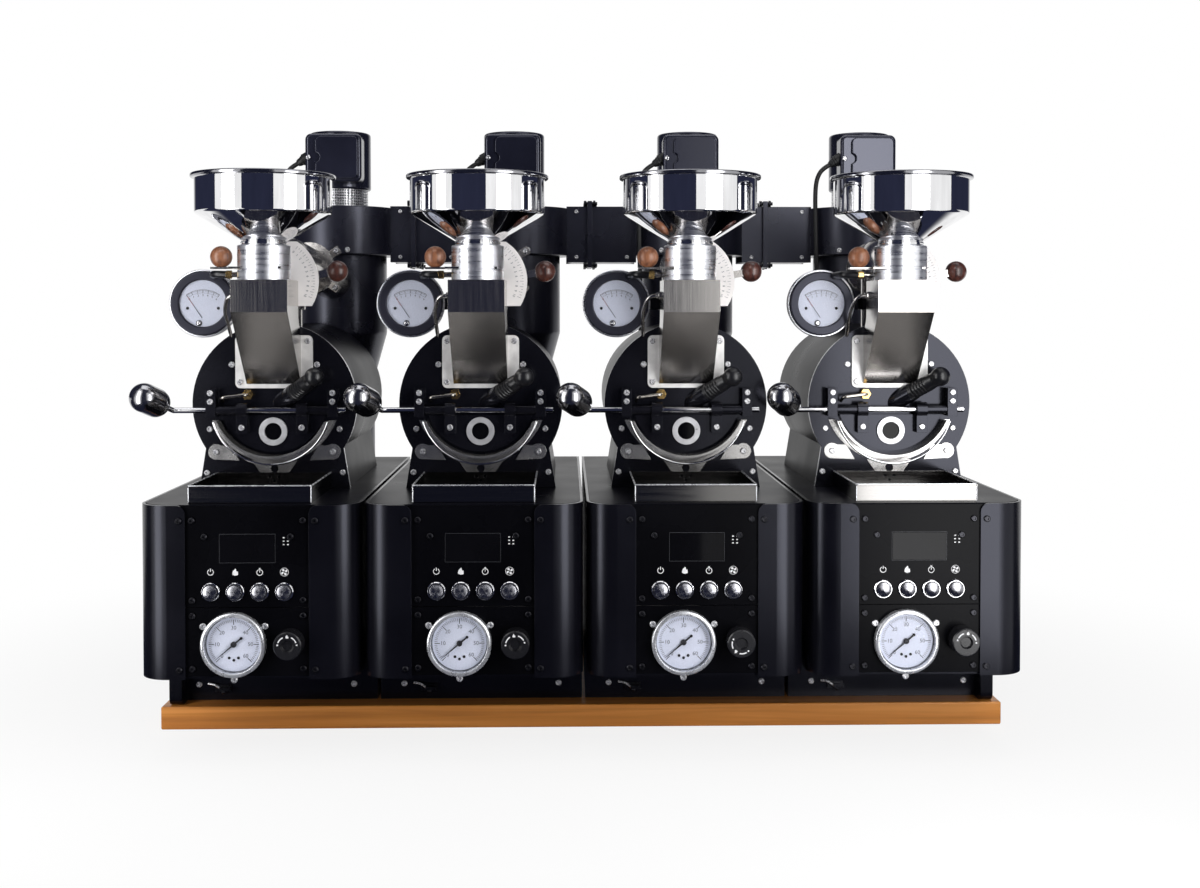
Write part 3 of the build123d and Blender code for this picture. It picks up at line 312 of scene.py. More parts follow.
def rounded_rectangle(x, z, half_x, half_z, radius):
    """Closed outline of a rectangle with round corners, counter-clockwise."""
    outline = []
    for quarter, (sx, sz) in enumerate(((1, 1), (-1, 1), (-1, -1), (1, -1))):
        for k in range(CORNER_STEPS + 1):
            u, v = polar(radius, 90 * (quarter + k / CORNER_STEPS))
            outline.append((x + sx * (half_x - radius) + u, z + sz * (half_z - radius) + v))
    return outline


def prism(outline, low, high, place):
    """Outline raised between two heights along the place's z axis."""
    count = len(outline)
    points = [place @ Vector((x, y, h)) for h in (low, high) for x, y in outline]
    faces = [list(range(count))[::-1], list(range(count, 2 * count))]
    for k in range(count):
        j = (k + 1) % count
        faces.append([k, j, count + j, count + k])
    return points, faces


def disc(radius, low, high, place, x=0.0, y=0.0, segments=24):
    """Short round bar."""
    rim = [polar(radius, 360 * k / segments) for k in range(segments)]
    return prism([(x + u, y + v) for u, v in rim], low, high, place)


def arc_band(inner, outer, start, end, low, high, place, x=0.0, y=0.0, steps=24):
    """Part of a flat ring between two angles in degrees."""
    turns = [start + (end - start) * k / steps for k in range(steps + 1)]
    outline = [polar(outer, turn) for turn in turns] + [polar(inner, turn) for turn in turns[::-1]]
    return prism([(x + u, y + v) for u, v in outline], low, high, place)


def bar(radius, low, high):
    """Profile of a round bar, as (radius, height) points."""
    return (0, low), (radius, low), (radius, high), (0, high)


def ring(inner, outer, low, high):
    """Profile of a plain ring, as (radius, height) points."""
    return (inner, low), (outer, low), (outer, high), (inner, high), (inner, low)


def stroke(x0, y0, x1, y1, width, low, high, place):
    """Straight printed line from one point to another."""
    start, end = Vector((x0, y0)), Vector((x1, y1))
    side = (end - start).normalized().orthogonal() * width / 2
    return prism((start - side, end - side, end + side, start + side), low, high, place)


def tube(route, radius, sides=20):
    """Round bar along a list of points, square at both ends."""
    line = [Vector(point) for point in route]
    points = []
    side = None
    for k, here in enumerate(line):
        way = (line[min(k + 1, len(line) - 1)] - line[max(k - 1, 0)]).normalized()
        if side is None:
            side = way.orthogonal().normalized()
        side = (side - way * side.dot(way)).normalized()
        other = way.cross(side)
        for j in range(sides):
            turn = math.tau * j / sides
            points.append(here + (side * math.cos(turn) + other * math.sin(turn)) * radius)
    faces = [list(range(sides))[::-1], [len(points) - sides + j for j in range(sides)]]
    for k in range(len(line) - 1):
        for j in range(sides):
            i = (j + 1) % sides
            faces.append([k * sides + j, k * sides + i, (k + 1) * sides + i, (k + 1) * sides + j])
    return points, faces


def number(text, size, low, high, place, x, y, turn=0.0):
    """Printed number, centred on a point of the place."""
    curve = bpy.data.curves.new("number", "FONT")
    curve.body = text
    curve.size = size
    curve.align_x = "CENTER"
    curve.align_y = "CENTER"
    curve.resolution_u = 3
    curve.extrude = (high - low) / 2
    holder = bpy.data.objects.new("number", curve)
    mesh = bpy.data.meshes.new_from_object(holder)
    spot = place @ standing(x, y, (low + high) / 2) @ spin(turn)
    points = [spot @ vertex.co for vertex in mesh.vertices]
    faces = [list(polygon.vertices) for polygon in mesh.polygons]
    bpy.data.objects.remove(holder)
    bpy.data.curves.remove(curve)
    bpy.data.meshes.remove(mesh)
    return points, faces


def new_object(name, data):
    """Object of the scene."""
    thing = bpy.data.objects.new(name, data)
    bpy.context.scene.collection.objects.link(thing)
    return thing


class Piece:
    """Mesh gathered from several shapes of one station, each with its own material."""

    def __init__(self, name, body="stand"):
        self.name = name
        self.body = body
        self.points = []
        self.faces = []
        self.slots = []
        self.materials = []

    def add(self, shape, material):
        """Take in one shape."""
        points, faces = shape
        if material not in self.materials:
            self.materials.append(material)
        first = len(self.points)
        self.points += points
        self.faces += [[first + k for k in face] for face in faces]
        self.slots += [self.materials.index(material)] * len(faces)

    def done(self, stations=range(STATION_COUNT), bevel=0.0, replaces=None):
        """Make the object, repeated at the stations, and let it ride on its body."""
        points = [world(point, n) for n in stations for point in self.points]
        count = len(self.points)
        faces = [[copy * count + k for k in face] for copy in range(len(stations)) for face in self.faces]
        mesh = bpy.data.meshes.new(self.name)
        mesh.from_pydata(points, [], faces)
        for material in self.materials:
            mesh.materials.append(material)
        mesh.polygons.foreach_set("material_index", self.slots * len(stations))
        mesh.polygons.foreach_set("use_smooth", [True] * len(faces))
        mesh.update()
        piece = new_object(self.name, mesh)
        if bevel:
            edge = piece.modifiers.new("edge", "BEVEL")
            edge.width = bevel / 1000
            edge.segments = 3
            edge.limit_method = "ANGLE"
            edge.angle_limit = math.radians(40)
            edge.harden_normals = True
        else:
            mesh.set_sharp_from_angle(angle=math.radians(35))
            piece.modifiers.new("even_normals", "WEIGHTED_NORMAL").keep_sharp = True
        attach(piece, self.body)
        if replaces:
            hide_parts(replaces)
        return piece


# Materials

def surface(name, colour, roughness, metallic=0.0, **sockets):
    """Material whose even values sit on the shader's own sockets."""
    material = bpy.data.materials.new(name)
    material.use_nodes = True
    shader = material.node_tree.nodes["Principled BSDF"]
    values = {"Base_Color": (*colour, 1), "Roughness": roughness, "Metallic": metallic, **sockets}
    for socket, value in values.items():
        shader.inputs[socket.replace("_", " ")].default_value = value
    return material


def add_node(tree, kind, inputs=None, **settings):
    """Shader node; each input is fed from another node's output or holds an even value."""
    node = tree.nodes.new("ShaderNode" + kind)
    for name, value in settings.items():
        setattr(node, name, value)
    for socket, source in (inputs or {}).items():
        if isinstance(source, bpy.types.NodeSocket):
            tree.links.new(source, node.inputs[socket])
        else:
            node.inputs[socket].default_value = source
    return node


def feed(material, socket, output):
    """Link an output to a socket of the material's shader."""
    tree = material.node_tree
    tree.links.new(output, tree.nodes["Principled BSDF"].inputs[socket])


def noise(material, cell, detail=3.0, distortion=0.0):
    """Noise over the surface, its cells given in millimetres along x, y and z."""
    tree = material.node_tree
    place = add_node(tree, "TexCoord")
    cells = add_node(tree, "Mapping", {"Vector": place.outputs["Object"],
                                       "Scale": [1000 / size for size in cell]})
    texture = add_node(tree, "TexNoise", {"Vector": cells.outputs["Vector"], "Scale": 1.0,
                                          "Detail": detail, "Distortion": distortion})
    return texture.outputs[0]


def tint(material, value, *stops):
    """Base colour from a value through (position, colour) stops."""
    ramp = add_node(material.node_tree, "ValToRGB", {"Fac": value})
    steps = ramp.color_ramp.elements
    while len(steps) < len(stops):
        steps.new(0.5)
    for step, (position, colour) in zip(steps, stops):
        step.position = position
        step.color = (*colour, 1)
    feed(material, "Base Color", ramp.outputs["Color"])


def vary(material, value, low, high):
    """Roughness between two levels from a value."""
    spread = add_node(material.node_tree, "MapRange", {"Value": value, "From Min": 0.3, "From Max": 0.7,
                                                       "To Min": low, "To Max": high})
    feed(material, "Roughness", spread.outputs["Result"])


def relief(material, value, height, edge):
    """Fine relief of a height, over edges rounded by a radius, both in millimetres."""
    tree = material.node_tree
    rounding = add_node(tree, "Bevel", {"Radius": edge / 1000}, samples=4)
    bump = add_node(tree, "Bump", {"Distance": height / 1000, "Height": value,
                                   "Normal": rounding.outputs["Normal"]})
    feed(material, "Normal", bump.outputs["Normal"])


def painted(name, colour, roughness, grain=0.02, edge=0.5, **sockets):
    """Paint or powder coat: slight unevenness of tone and gloss over a fine orange peel."""
    material = surface(name, colour, roughness, **sockets)
    broad = noise(material, (90, 90, 90), 4.0)
    tint(material, broad, (0.35, [c * 0.8 for c in colour]), (0.65, [c * 1.25 for c in colour]))
    vary(material, broad, roughness * 0.88, roughness * 1.12)
    relief(material, noise(material, (0.9, 0.9, 0.9), 2.0), grain, edge)
    return material


def black_paint(name, colour, roughness, shine, grain=0.02):
    """Black paint whose reflections carry a painted bluish tint of the lamps' light."""
    return painted(name, colour, roughness, grain, Specular_IOR_Level=shine,
                   Specular_Tint=(0.82, 0.84, 1.0, 1.0))


def metal(name, colour, roughness, cell, grain=0.004, **sockets):
    """Bare metal whose brushing or rolling runs along the long side of the cell."""
    material = surface(name, colour, roughness, 1.0, **sockets)
    brushing = noise(material, cell, 4.0)
    tint(material, brushing, (0.3, [c * 0.9 for c in colour]), (0.7, [min(1, c * 1.06) for c in colour]))
    vary(material, brushing, roughness * 0.75, roughness * 1.25)
    relief(material, brushing, grain, 0.4)
    return material


def timber(name, cell, tones, roughness, **sockets):
    """Varnished wood, its grain along the long side of the cell."""
    material = surface(name, tones[1], roughness, **sockets)
    bands = noise(material, cell, 6.0, 0.6)
    tint(material, bands, (0.32, tones[0]), (0.5, tones[1]), (0.68, tones[2]))
    vary(material, bands, roughness * 1.15, roughness * 0.85)
    relief(material, noise(material, [c / 6 for c in cell], 3.0), 0.02, 0.8)
    return material


def plastic(name, colour, roughness):
    """Moulded plastic or rubber with a faint texture."""
    return painted(name, colour, roughness, 0.01, 0.3)


def printed(name, colour):
    """Printed mark, slightly uneven in the ink."""
    material = surface(name, colour, 0.5)
    tint(material, noise(material, (1.5, 1.5, 1.5)), (0.2, [c * 0.85 for c in colour]), (0.8, colour))
    return material


COAT = black_paint("powder_coat", (0.003, 0.003, 0.005), 0.24, 0.32)
BLOWER_PAINT = black_paint("blower_paint", (0.011, 0.011, 0.020), 0.28, 0.6, 0.012)
PANEL = painted("panel_satin", (0.002, 0.002, 0.003), 0.27, 0.012, Specular_IOR_Level=0.06)
GLOSS = black_paint("gloss_enamel", (0.006, 0.006, 0.0085), 0.16, 0.32, 0.006)
MOTOR = black_paint("motor_enamel", (0.018, 0.019, 0.034), 0.16, 0.7, 0.010)
STEEL = metal("rolled_stainless", (0.52, 0.50, 0.48), 0.20, (0.9, 0.9, 60), 0.0015)
# Tray stainless darkened well below plain stainless: painted shade standing in for the dim room its faces
# mirror
SHADED_TRAY_STEEL = metal("tray_stainless_painted_dark", (0.20, 0.195, 0.19), 0.14, (60, 0.8, 0.8))
TROUGH_STEEL = metal("polished_trough", (0.50, 0.49, 0.48), 0.22, (20, 20, 20), 0.0005, Metallic=0.85)
WEIGHT_STEEL = metal("turned_weight", (0.40, 0.40, 0.42), 0.17, (0.7, 30, 30), 0.003)
MIRROR = metal("polished_steel", (0.84, 0.84, 0.85), 0.03, (8, 8, 60), 0.0006)
ALUMINIUM = metal("turned_aluminium", (0.88, 0.89, 0.93), 0.3, (60, 60, 4), 0.0004)
# Rolled rim of the polished funnels in the same steel, darkened: painted dark reflection of the dim room
DARKENED_RIM_STEEL = metal("rim_steel_painted_reflection", (0.34, 0.34, 0.36), 0.12, (12, 12, 12), 0.001)
CHROME = metal("chrome", (0.78, 0.78, 0.80), 0.06, (12, 12, 12), 0.001)
# Buttons faced on a lathe: fine rings about the y axis draw highlights out into a star
BUTTON_FACE = metal("button_face", (0.40, 0.40, 0.43), 0.26, (2, 2, 2), 0.0005, Anisotropic=0.85)
RINGS = add_node(BUTTON_FACE.node_tree, "Tangent", direction_type="RADIAL", axis="Y")
feed(BUTTON_FACE, "Tangent", RINGS.outputs["Tangent"])
SCREW_STEEL = metal("screw_steel", (0.74, 0.74, 0.76), 0.28, (2, 2, 2), 0.001, Metallic=0.7)
BLACK_SCREW = metal("black_screw", (0.035, 0.035, 0.04), 0.32, (2, 2, 2))
BEZEL = metal("bezel_steel", (0.76, 0.77, 0.80), 0.28, (9, 9, 9), 0.0001, Metallic=0.75)
RING_STEEL = metal("ring_steel", (0.66, 0.66, 0.68), 0.36, (9, 9, 9), 0.0001, Metallic=0.55)
SATIN_STEEL = metal("satin_steel", (0.86, 0.85, 0.84), 0.42, (9, 9, 9), 0.0001, Metallic=0.35)
BRASS = metal("brass", (0.62, 0.42, 0.16), 0.2, (3, 3, 3))
IRON = metal("drum_iron", (0.20, 0.19, 0.18), 0.42, (20, 2, 20), 0.02)
OAK = timber("honey_board", (260, 9, 9), ((0.48, 0.175, 0.035), (0.61, 0.235, 0.047), (0.72, 0.30, 0.074)),
             0.36, Specular_IOR_Level=0.25, Coat_Weight=0.08, Coat_Roughness=0.2)
WALNUT = timber("walnut", (5, 5, 60), ((0.13, 0.045, 0.022), (0.27, 0.105, 0.05), (0.36, 0.16, 0.08)),
                0.36, Coat_Weight=0.2, Coat_Roughness=0.25)
DARK_WALNUT = timber("dark_walnut", (4, 4, 60),
                     ((0.025, 0.009, 0.008), (0.07, 0.022, 0.016), (0.12, 0.042, 0.03)),
                     0.3, Coat_Weight=0.25, Coat_Roughness=0.2)
RUBBER = plastic("lead_rubber", (0.012, 0.012, 0.013), 0.5)
HANDLE = plastic("handle_plastic", (0.007, 0.007, 0.009), 0.30)
KNOB = plastic("knob_plastic", (0.010, 0.010, 0.012), 0.26)
DIAL = printed("dial_white", (0.78, 0.82, 0.98))
INK = printed("dial_ink", (0.015, 0.015, 0.02))
GREY_INK = printed("grey_ink", (0.12, 0.13, 0.16))
FAINT_INK = printed("faint_ink", (0.035, 0.037, 0.045))
RED_INK = printed("red_ink", (0.45, 0.06, 0.05))
WHITE_INK = printed("white_ink", (0.82, 0.82, 0.84))
DARK_GLASS = painted("dark_glass", (0.003, 0.003, 0.004), 0.05, 0.0005, 0.3, Specular_IOR_Level=0.12)
WINDOW = surface("window_glass", (0.02, 0.02, 0.025), 0.02, Alpha=0.06)
vary(WINDOW, noise(WINDOW, (30, 30, 30)), 0.015, 0.03)
FLANGE_PAINT = black_paint("gauge_flange", (0.022, 0.022, 0.032), 0.30, 0.4)
SATIN = black_paint("satin_black", (0.006, 0.006, 0.009), 0.30, 0.022)
SCALE_PLATE = painted("scale_plate", (0.86, 0.83, 0.82), 0.42, 0.004)
HEATED_STEEL = metal("heated_sheath", (0.45, 0.42, 0.38), 0.2, (2, 2, 2))


# Camera and leads

def make_camera():
    """Camera at the photograph's place."""
    data = bpy.data.cameras.new("camera")
    data.lens = CAMERA_LENS
    data.shift_y = CAMERA_SHIFT
    camera = new_object("camera", data)
    camera.location = CAMERA_PLACE
    camera.rotation_euler = (math.radians(90 - CAMERA_PITCH), 0, math.radians(-CAMERA_YAW))
    bpy.context.scene.camera = camera


def make_leads():
    """Lead of each motor, from the junction box down to the deck."""
    for n in range(STATION_COUNT):
        curve = bpy.data.curves.new(f"motor_lead_{n + 1}", "CURVE")
        curve.dimensions = "3D"
        curve.resolution_u = 16
        curve.bevel_depth = LEAD_DIAMETER / 2000
        curve.bevel_resolution = 6
        curve.use_fill_caps = True
        curve.materials.append(RUBBER)
        spline = curve.splines.new("NURBS")
        spline.points.add(len(LEAD_ROUTE) - 1)
        for spot, point in zip(spline.points, LEAD_ROUTE):
            spot.co = (*world(point, n), 1)
        spline.order_u = 3
        spline.use_endpoint_u = True
        lead = new_object(curve.name, curve)
        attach(lead, "stand")
        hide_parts("motor_leads")


# Finishes of the fixed frame

def dress(node, material, *patches, n=None):
    """Finish of a node; a patch is the low and high corner of a region and its own material."""
    mesh = frame["nodes"][node].data
    mesh.materials.clear()
    for finish in (material, *(patch[2] for patch in patches)):
        mesh.materials.append(finish)
    for polygon in mesh.polygons:
        spot = at_station(polygon.center, n)
        inside = [slot for slot, (low, high, finish) in enumerate(patches, 1)
                  if all(a <= v <= b for a, v, b in zip(low, spot, high))]
        polygon.material_index = max(inside, default=0)


def dress_screws():
    """Black screws in the cabinet's front, bright ones everywhere else."""
    mesh = frame["nodes"]["cap_screws"].data
    mesh.materials.clear()
    mesh.materials.append(SCREW_STEEL)
    mesh.materials.append(BLACK_SCREW)
    for polygon in mesh.polygons:
        x, y, z = at_station(polygon.center)
        on_gauge = math.hypot(x - GAUGE_X, z - GAUGE_Z) < GAUGE_RADIUS + 8
        polygon.material_index = 1 if y < 5 and not on_gauge else 0


def dress_frame():
    """Finish of every node that keeps its own shape, its regions in the station's frame."""
    dress("base_board", OAK)
    dress("cabinet_frames", COAT,
          ((-118, 0, 268), (118, 700, 272), SATIN),  # deck
          ((-75, 130, 30), (-50, 150, 50), BLACK_SCREW),  # latch
          ((35, 480, 112), (86, 520, 146), KNOB))  # mains inlet
    dress("cabinet_shells", COAT)
    dress("control_panels", PANEL,
          *[((x - 10, -4, BUTTON_Z - 10), (x + 10, -0.01, BUTTON_Z + 10), CHROME) for x in BUTTON_X],
          ((-DISPLAY_HALF - 0.1, -1, DISPLAY_LOW - 0.1), (DISPLAY_HALF + 0.1, -0.01, DISPLAY_HIGH + 0.1),
           DARK_GLASS))
    dress("front_plates", GLOSS,
          ((-100, 147.2, 260), (100, 151.8, 480), BEZEL),  # edge of the plate
          ((-36, 137.5, 372), (-22, 146.9, 386), BRASS),  # nut of the probe
          ((-62, 120, 365), (-24, 137.6, 385), HEATED_STEEL))  # sheath of the probe
    dress("drum_housings", SATIN,
          ((-70, 170, 100), (70, 345, 290), BRASS),  # burner
          ((-70, 400, 100), (10, 540, 160), BRASS),  # gas train
          ((30, 10, 95), (60, 50, 145), BRASS))  # gas valve
    dress("drum_drives", MOTOR)
    dress("discharge_troughs", TROUGH_STEEL)
    dress("feed_chutes", STEEL,
          ((-12, SCALE_FRONT - 0.1, 479), (55, SCALE_FRONT + 2.1, 554), SCALE_PLATE),
          ((-45, 143.5, 385), (45, 147.1, 448), SATIN_STEEL))  # flange
    dress("exhaust_pipes", STEEL)
    dress("exhaust_manifold", BLOWER_PAINT)
    dress_screws()
    for n in range(STATION_COUNT):
        k = n + 1
        dress(f"hopper_gate_{k}", STEEL, ((-70, 0, 522.95), (-34, 200, 560), WALNUT), n=n)
        dress(f"damper_{k}", STEEL, ((60, 120, 500), (100, 160, 540), DARK_WALNUT), n=n)
        dress(f"bean_trier_{k}", HANDLE, ((-90, 137, 300), (23, 260, 381), STEEL), n=n)
        dress(f"discharge_door_{k}", GLOSS,
              ((-180, 40, 340), (-114, 140, 410), WEIGHT_STEEL),
              ((-114, 100, 340), (-76, 140, 400), CHROME),  # left end of the rod
              ((75, 120, 355), (100, 140, 370), CHROME),  # right end
              ((-27.9, 128, 357), (27.9, 139, 366), CHROME),  # middle
              ((-16.1, 136, 320), (16.1, 139.45, 354), RING_STEEL),
              ((-9.9, 139.4, 327), (9.9, 146, 347), DARK_GLASS),
              ((-40, 124, 337), (-28, 128.99, 347), SCREW_STEEL),
              ((28, 124, 337), (40, 128.99, 347), SCREW_STEEL), n=n)
        dress(f"roasting_drum_{k}", IRON, n=n)
        # Trays in the darkened stainless: painted shade of their dim reflections
        dress(f"cooling_tray_{k}", SHADED_TRAY_STEEL, n=n)
        dress(f"gas_knob_{k}", KNOB, n=n)
        for name in ("power", "fire", "timer", "cooling"):
            dress(f"{name}_button_{k}", BUTTON_FACE, n=n)


# Feed hoppers

def make_hoppers():
    """Polished funnel with a rolled rim and a bead at its foot, on two turned collars."""
    piece = Piece("feed_funnels")
    place = standing(0, FEED_Y)
    wall = 1.5
    outside = rounded((
        (FEED_BORE, COLLAR_TOP), (FEED_BORE + 5, COLLAR_TOP), (FEED_BORE + 5.6, COLLAR_TOP + 3.2),
        (FEED_BORE + 4.4, COLLAR_TOP + 4.4), (HOPPER_RADIUS, HOPPER_CONE_TOP),
        (HOPPER_RADIUS, HOPPER_TOP - 1), (HOPPER_RADIUS - wall, HOPPER_TOP - 1),
        (HOPPER_RADIUS - wall, HOPPER_CONE_TOP + 0.8), (FEED_BORE, COLLAR_TOP + 5.2),
        (FEED_BORE, COLLAR_TOP),
    ), 2.2)
    piece.add(lathe(outside, place, 128), MIRROR)
    bead = rounded((
        (HOPPER_RADIUS - 1, HOPPER_TOP - 2.5), (HOPPER_RADIUS - 1, HOPPER_TOP - 5),
        (HOPPER_RIM_RADIUS, HOPPER_TOP - 5), (HOPPER_RIM_RADIUS, HOPPER_TOP),
        (HOPPER_RADIUS - 1, HOPPER_TOP), (HOPPER_RADIUS - 1, HOPPER_TOP - 2.5),
    ), 2.2)
    # Rim in the darkened steel: painted dark reflection
    piece.add(lathe(bead, place, 128), DARKENED_RIM_STEEL)
    piece.done(replaces=HOPPERS)

    collars = Piece("feed_collars")
    for low, high in ((CHUTE_TOP, GATE_LOW), (GATE_HIGH, COLLAR_TOP)):
        collars.add(lathe((
            (FEED_BORE, low), (COLLAR_RADIUS - 0.4, low), (COLLAR_RADIUS, low + 0.4),
            (COLLAR_RADIUS, high - 0.9), (COLLAR_RADIUS - 0.9, high), (FEED_BORE, high), (FEED_BORE, low),
        ), place), ALUMINIUM)
    reach = math.sqrt(COLLAR_RADIUS ** 2 - GATE_SLOT_HALF ** 2)
    spread = math.degrees(math.atan2(reach, GATE_SLOT_HALF))
    tongue = math.degrees(math.acos(GATE_SLOT_RIGHT / COLLAR_RADIUS))
    for middle, half in ((90, spread), (270, spread), (0, tongue)):
        outline = [polar(COLLAR_RADIUS, middle - half + 2 * half * k / 24) for k in range(25)]
        collars.add(prism(outline, GATE_LOW, GATE_HIGH, place), ALUMINIUM)
    collars.done(replaces=HOPPERS)


# Bright edges

def make_bright_edges():
    """Bright front edge of each trough, and folded edges round the top of each tray."""
    lips = Piece("trough_lips")
    reach = math.degrees(math.acos((DRUM_Z - TROUGH_HIGH) / TROUGH_RADIUS))
    arc = [polar(TROUGH_RADIUS, 270 + reach * (k / 20 - 1)) for k in range(41)]
    lips.add(tube([(x, TROUGH_FRONT, DRUM_Z + z) for x, z in arc], TROUGH_LIP, 12), CHROME)
    lips.done()

    corners = ((-TRAY_HALF, TRAY_REAR), (-TRAY_HALF, TRAY_FRONT), (TRAY_HALF, TRAY_FRONT),
               (TRAY_HALF, TRAY_REAR))
    top = rounded([(x, y, TRAY_TOP) for x, y in corners], 2.0, 4)
    for n in range(STATION_COUNT):
        rim = Piece(f"cooling_tray_rim_{n + 1}", f"cooling_tray_{n + 1}")
        rim.add(tube(top, TRAY_EDGE, 12), BEZEL)
        for x in (-TRAY_HALF, TRAY_HALF):
            upright = ((x, TRAY_FRONT, DECK_TOP + 0.8), (x, TRAY_FRONT, TRAY_TOP))
            rim.add(tube(upright, TRAY_CORNER, 12), BEZEL)
        rim.done(stations=[n])


# Gauges

def scale_lines(piece, place, height, inner, outer, start, sweep, count, major, width, thin, ink=INK):
    """Lines round a scale, the longer ones at every major division."""
    for k in range(count + 1):
        turn = start - sweep * k / count
        foot, line = (inner, width) if k % major == 0 else ((inner + outer) / 2, thin)
        piece.add(stroke(*polar(foot, turn), *polar(outer, turn), line, height, height + PRINT, place), ink)


def scale_numbers(piece, place, height, radius, size, start, sweep, values, ink, turned_with=False):
    """Numbers round a scale, upright or turned with it."""
    for k, value in enumerate(values):
        turn = start - sweep * k / (len(values) - 1)
        tilt = turn - 90 if turned_with else 0.0
        piece.add(number(str(value), size, height, height + PRINT, place, *polar(radius, turn), tilt), ink)


def make_gas_gauges():
    """Gas gauge: steel case with a rounded bezel, white dial, scale, needle and glass."""
    place = facing(GAUGE_X, GAUGE_Z)
    case = Piece("gas_gauge_cases")
    case.add(lathe(rounded((
        (0, -26), (GAUGE_RADIUS - 4, -26), (GAUGE_RADIUS - 4, 0), (GAUGE_RADIUS, 0),
        (GAUGE_RADIUS, GAUGE_PROUD - 1.2), (GAUGE_RADIUS - 2.2, GAUGE_PROUD),
        (GAUGE_DIAL_RADIUS + 0.4, GAUGE_PROUD), (GAUGE_DIAL_RADIUS, GAUGE_PROUD - 0.6),
        (GAUGE_DIAL_RADIUS, 1), (0, 1),
    ), 1.6), place), BEZEL)
    case.done(replaces=GAUGES)

    face = GAUGE_FACE
    dial = Piece("gas_gauge_dials")
    dial.add(disc(GAUGE_DIAL_RADIUS, 1, face, place, segments=96), DIAL)
    scale_lines(dial, place, face, *GAUGE_TICKS, GAUGE_ZERO, GAUGE_SWEEP, GAUGE_FULL, 10, 0.7, 0.385)
    scale_numbers(dial, place, face, *GAUGE_NUMBERS, GAUGE_ZERO, GAUGE_SWEEP, range(0, GAUGE_FULL + 1, 10),
                  GREY_INK)
    # Grey ring at the dial's edge: painted shadow of the bezel on the dial
    dial.add(lathe(ring(GAUGE_DIAL_RADIUS - 1.1, GAUGE_DIAL_RADIUS, face, face + 0.4), place), GREY_INK)
    for x, y in ((-4.8, -14.2), (0, -16.6), (4.8, -14.2)):
        dial.add(disc(1.5, face, face + 0.4, place, x, y), INK)
    dial.done(replaces=GAUGES)

    needle = Piece("gas_gauge_needles")
    hand = place @ spin(NEEDLE_AT)
    needle.add(prism(((NEEDLE_TAIL, -0.8), (0, -0.9), (NEEDLE_TIP, -0.2), (NEEDLE_TIP, 0.2), (0, 0.9),
                      (NEEDLE_TAIL, 0.8)), *NEEDLE_LEVEL, hand), INK)
    needle.add(disc(1.5, *NEEDLE_LEVEL, hand, NEEDLE_TAIL, 0), INK)
    needle.add(lathe(((3.0, face), (3.0, 4.6), (2.2, 5.2), (0, 5.2)), place, 32), INK)
    needle.done(replaces=GAUGES)

    glass = Piece("gauge_windows")
    glass.add(lathe(((0, 7.0), (GAUGE_DIAL_RADIUS, 7.0), (GAUGE_DIAL_RADIUS, 8.4), (20, 8.7), (0, 8.8)),
                    place), WINDOW)
    air = facing(AIR_X, AIR_Z, AIR_FRONT)
    glass.add(lathe(((0, -2.2), (AIR_DIAL_RADIUS, -2.2), (AIR_DIAL_RADIUS, -1.4), (18, -0.8), (0, -0.6)),
                    air), WINDOW)
    windows = glass.done(replaces=GAUGES)
    windows.visible_shadow = False


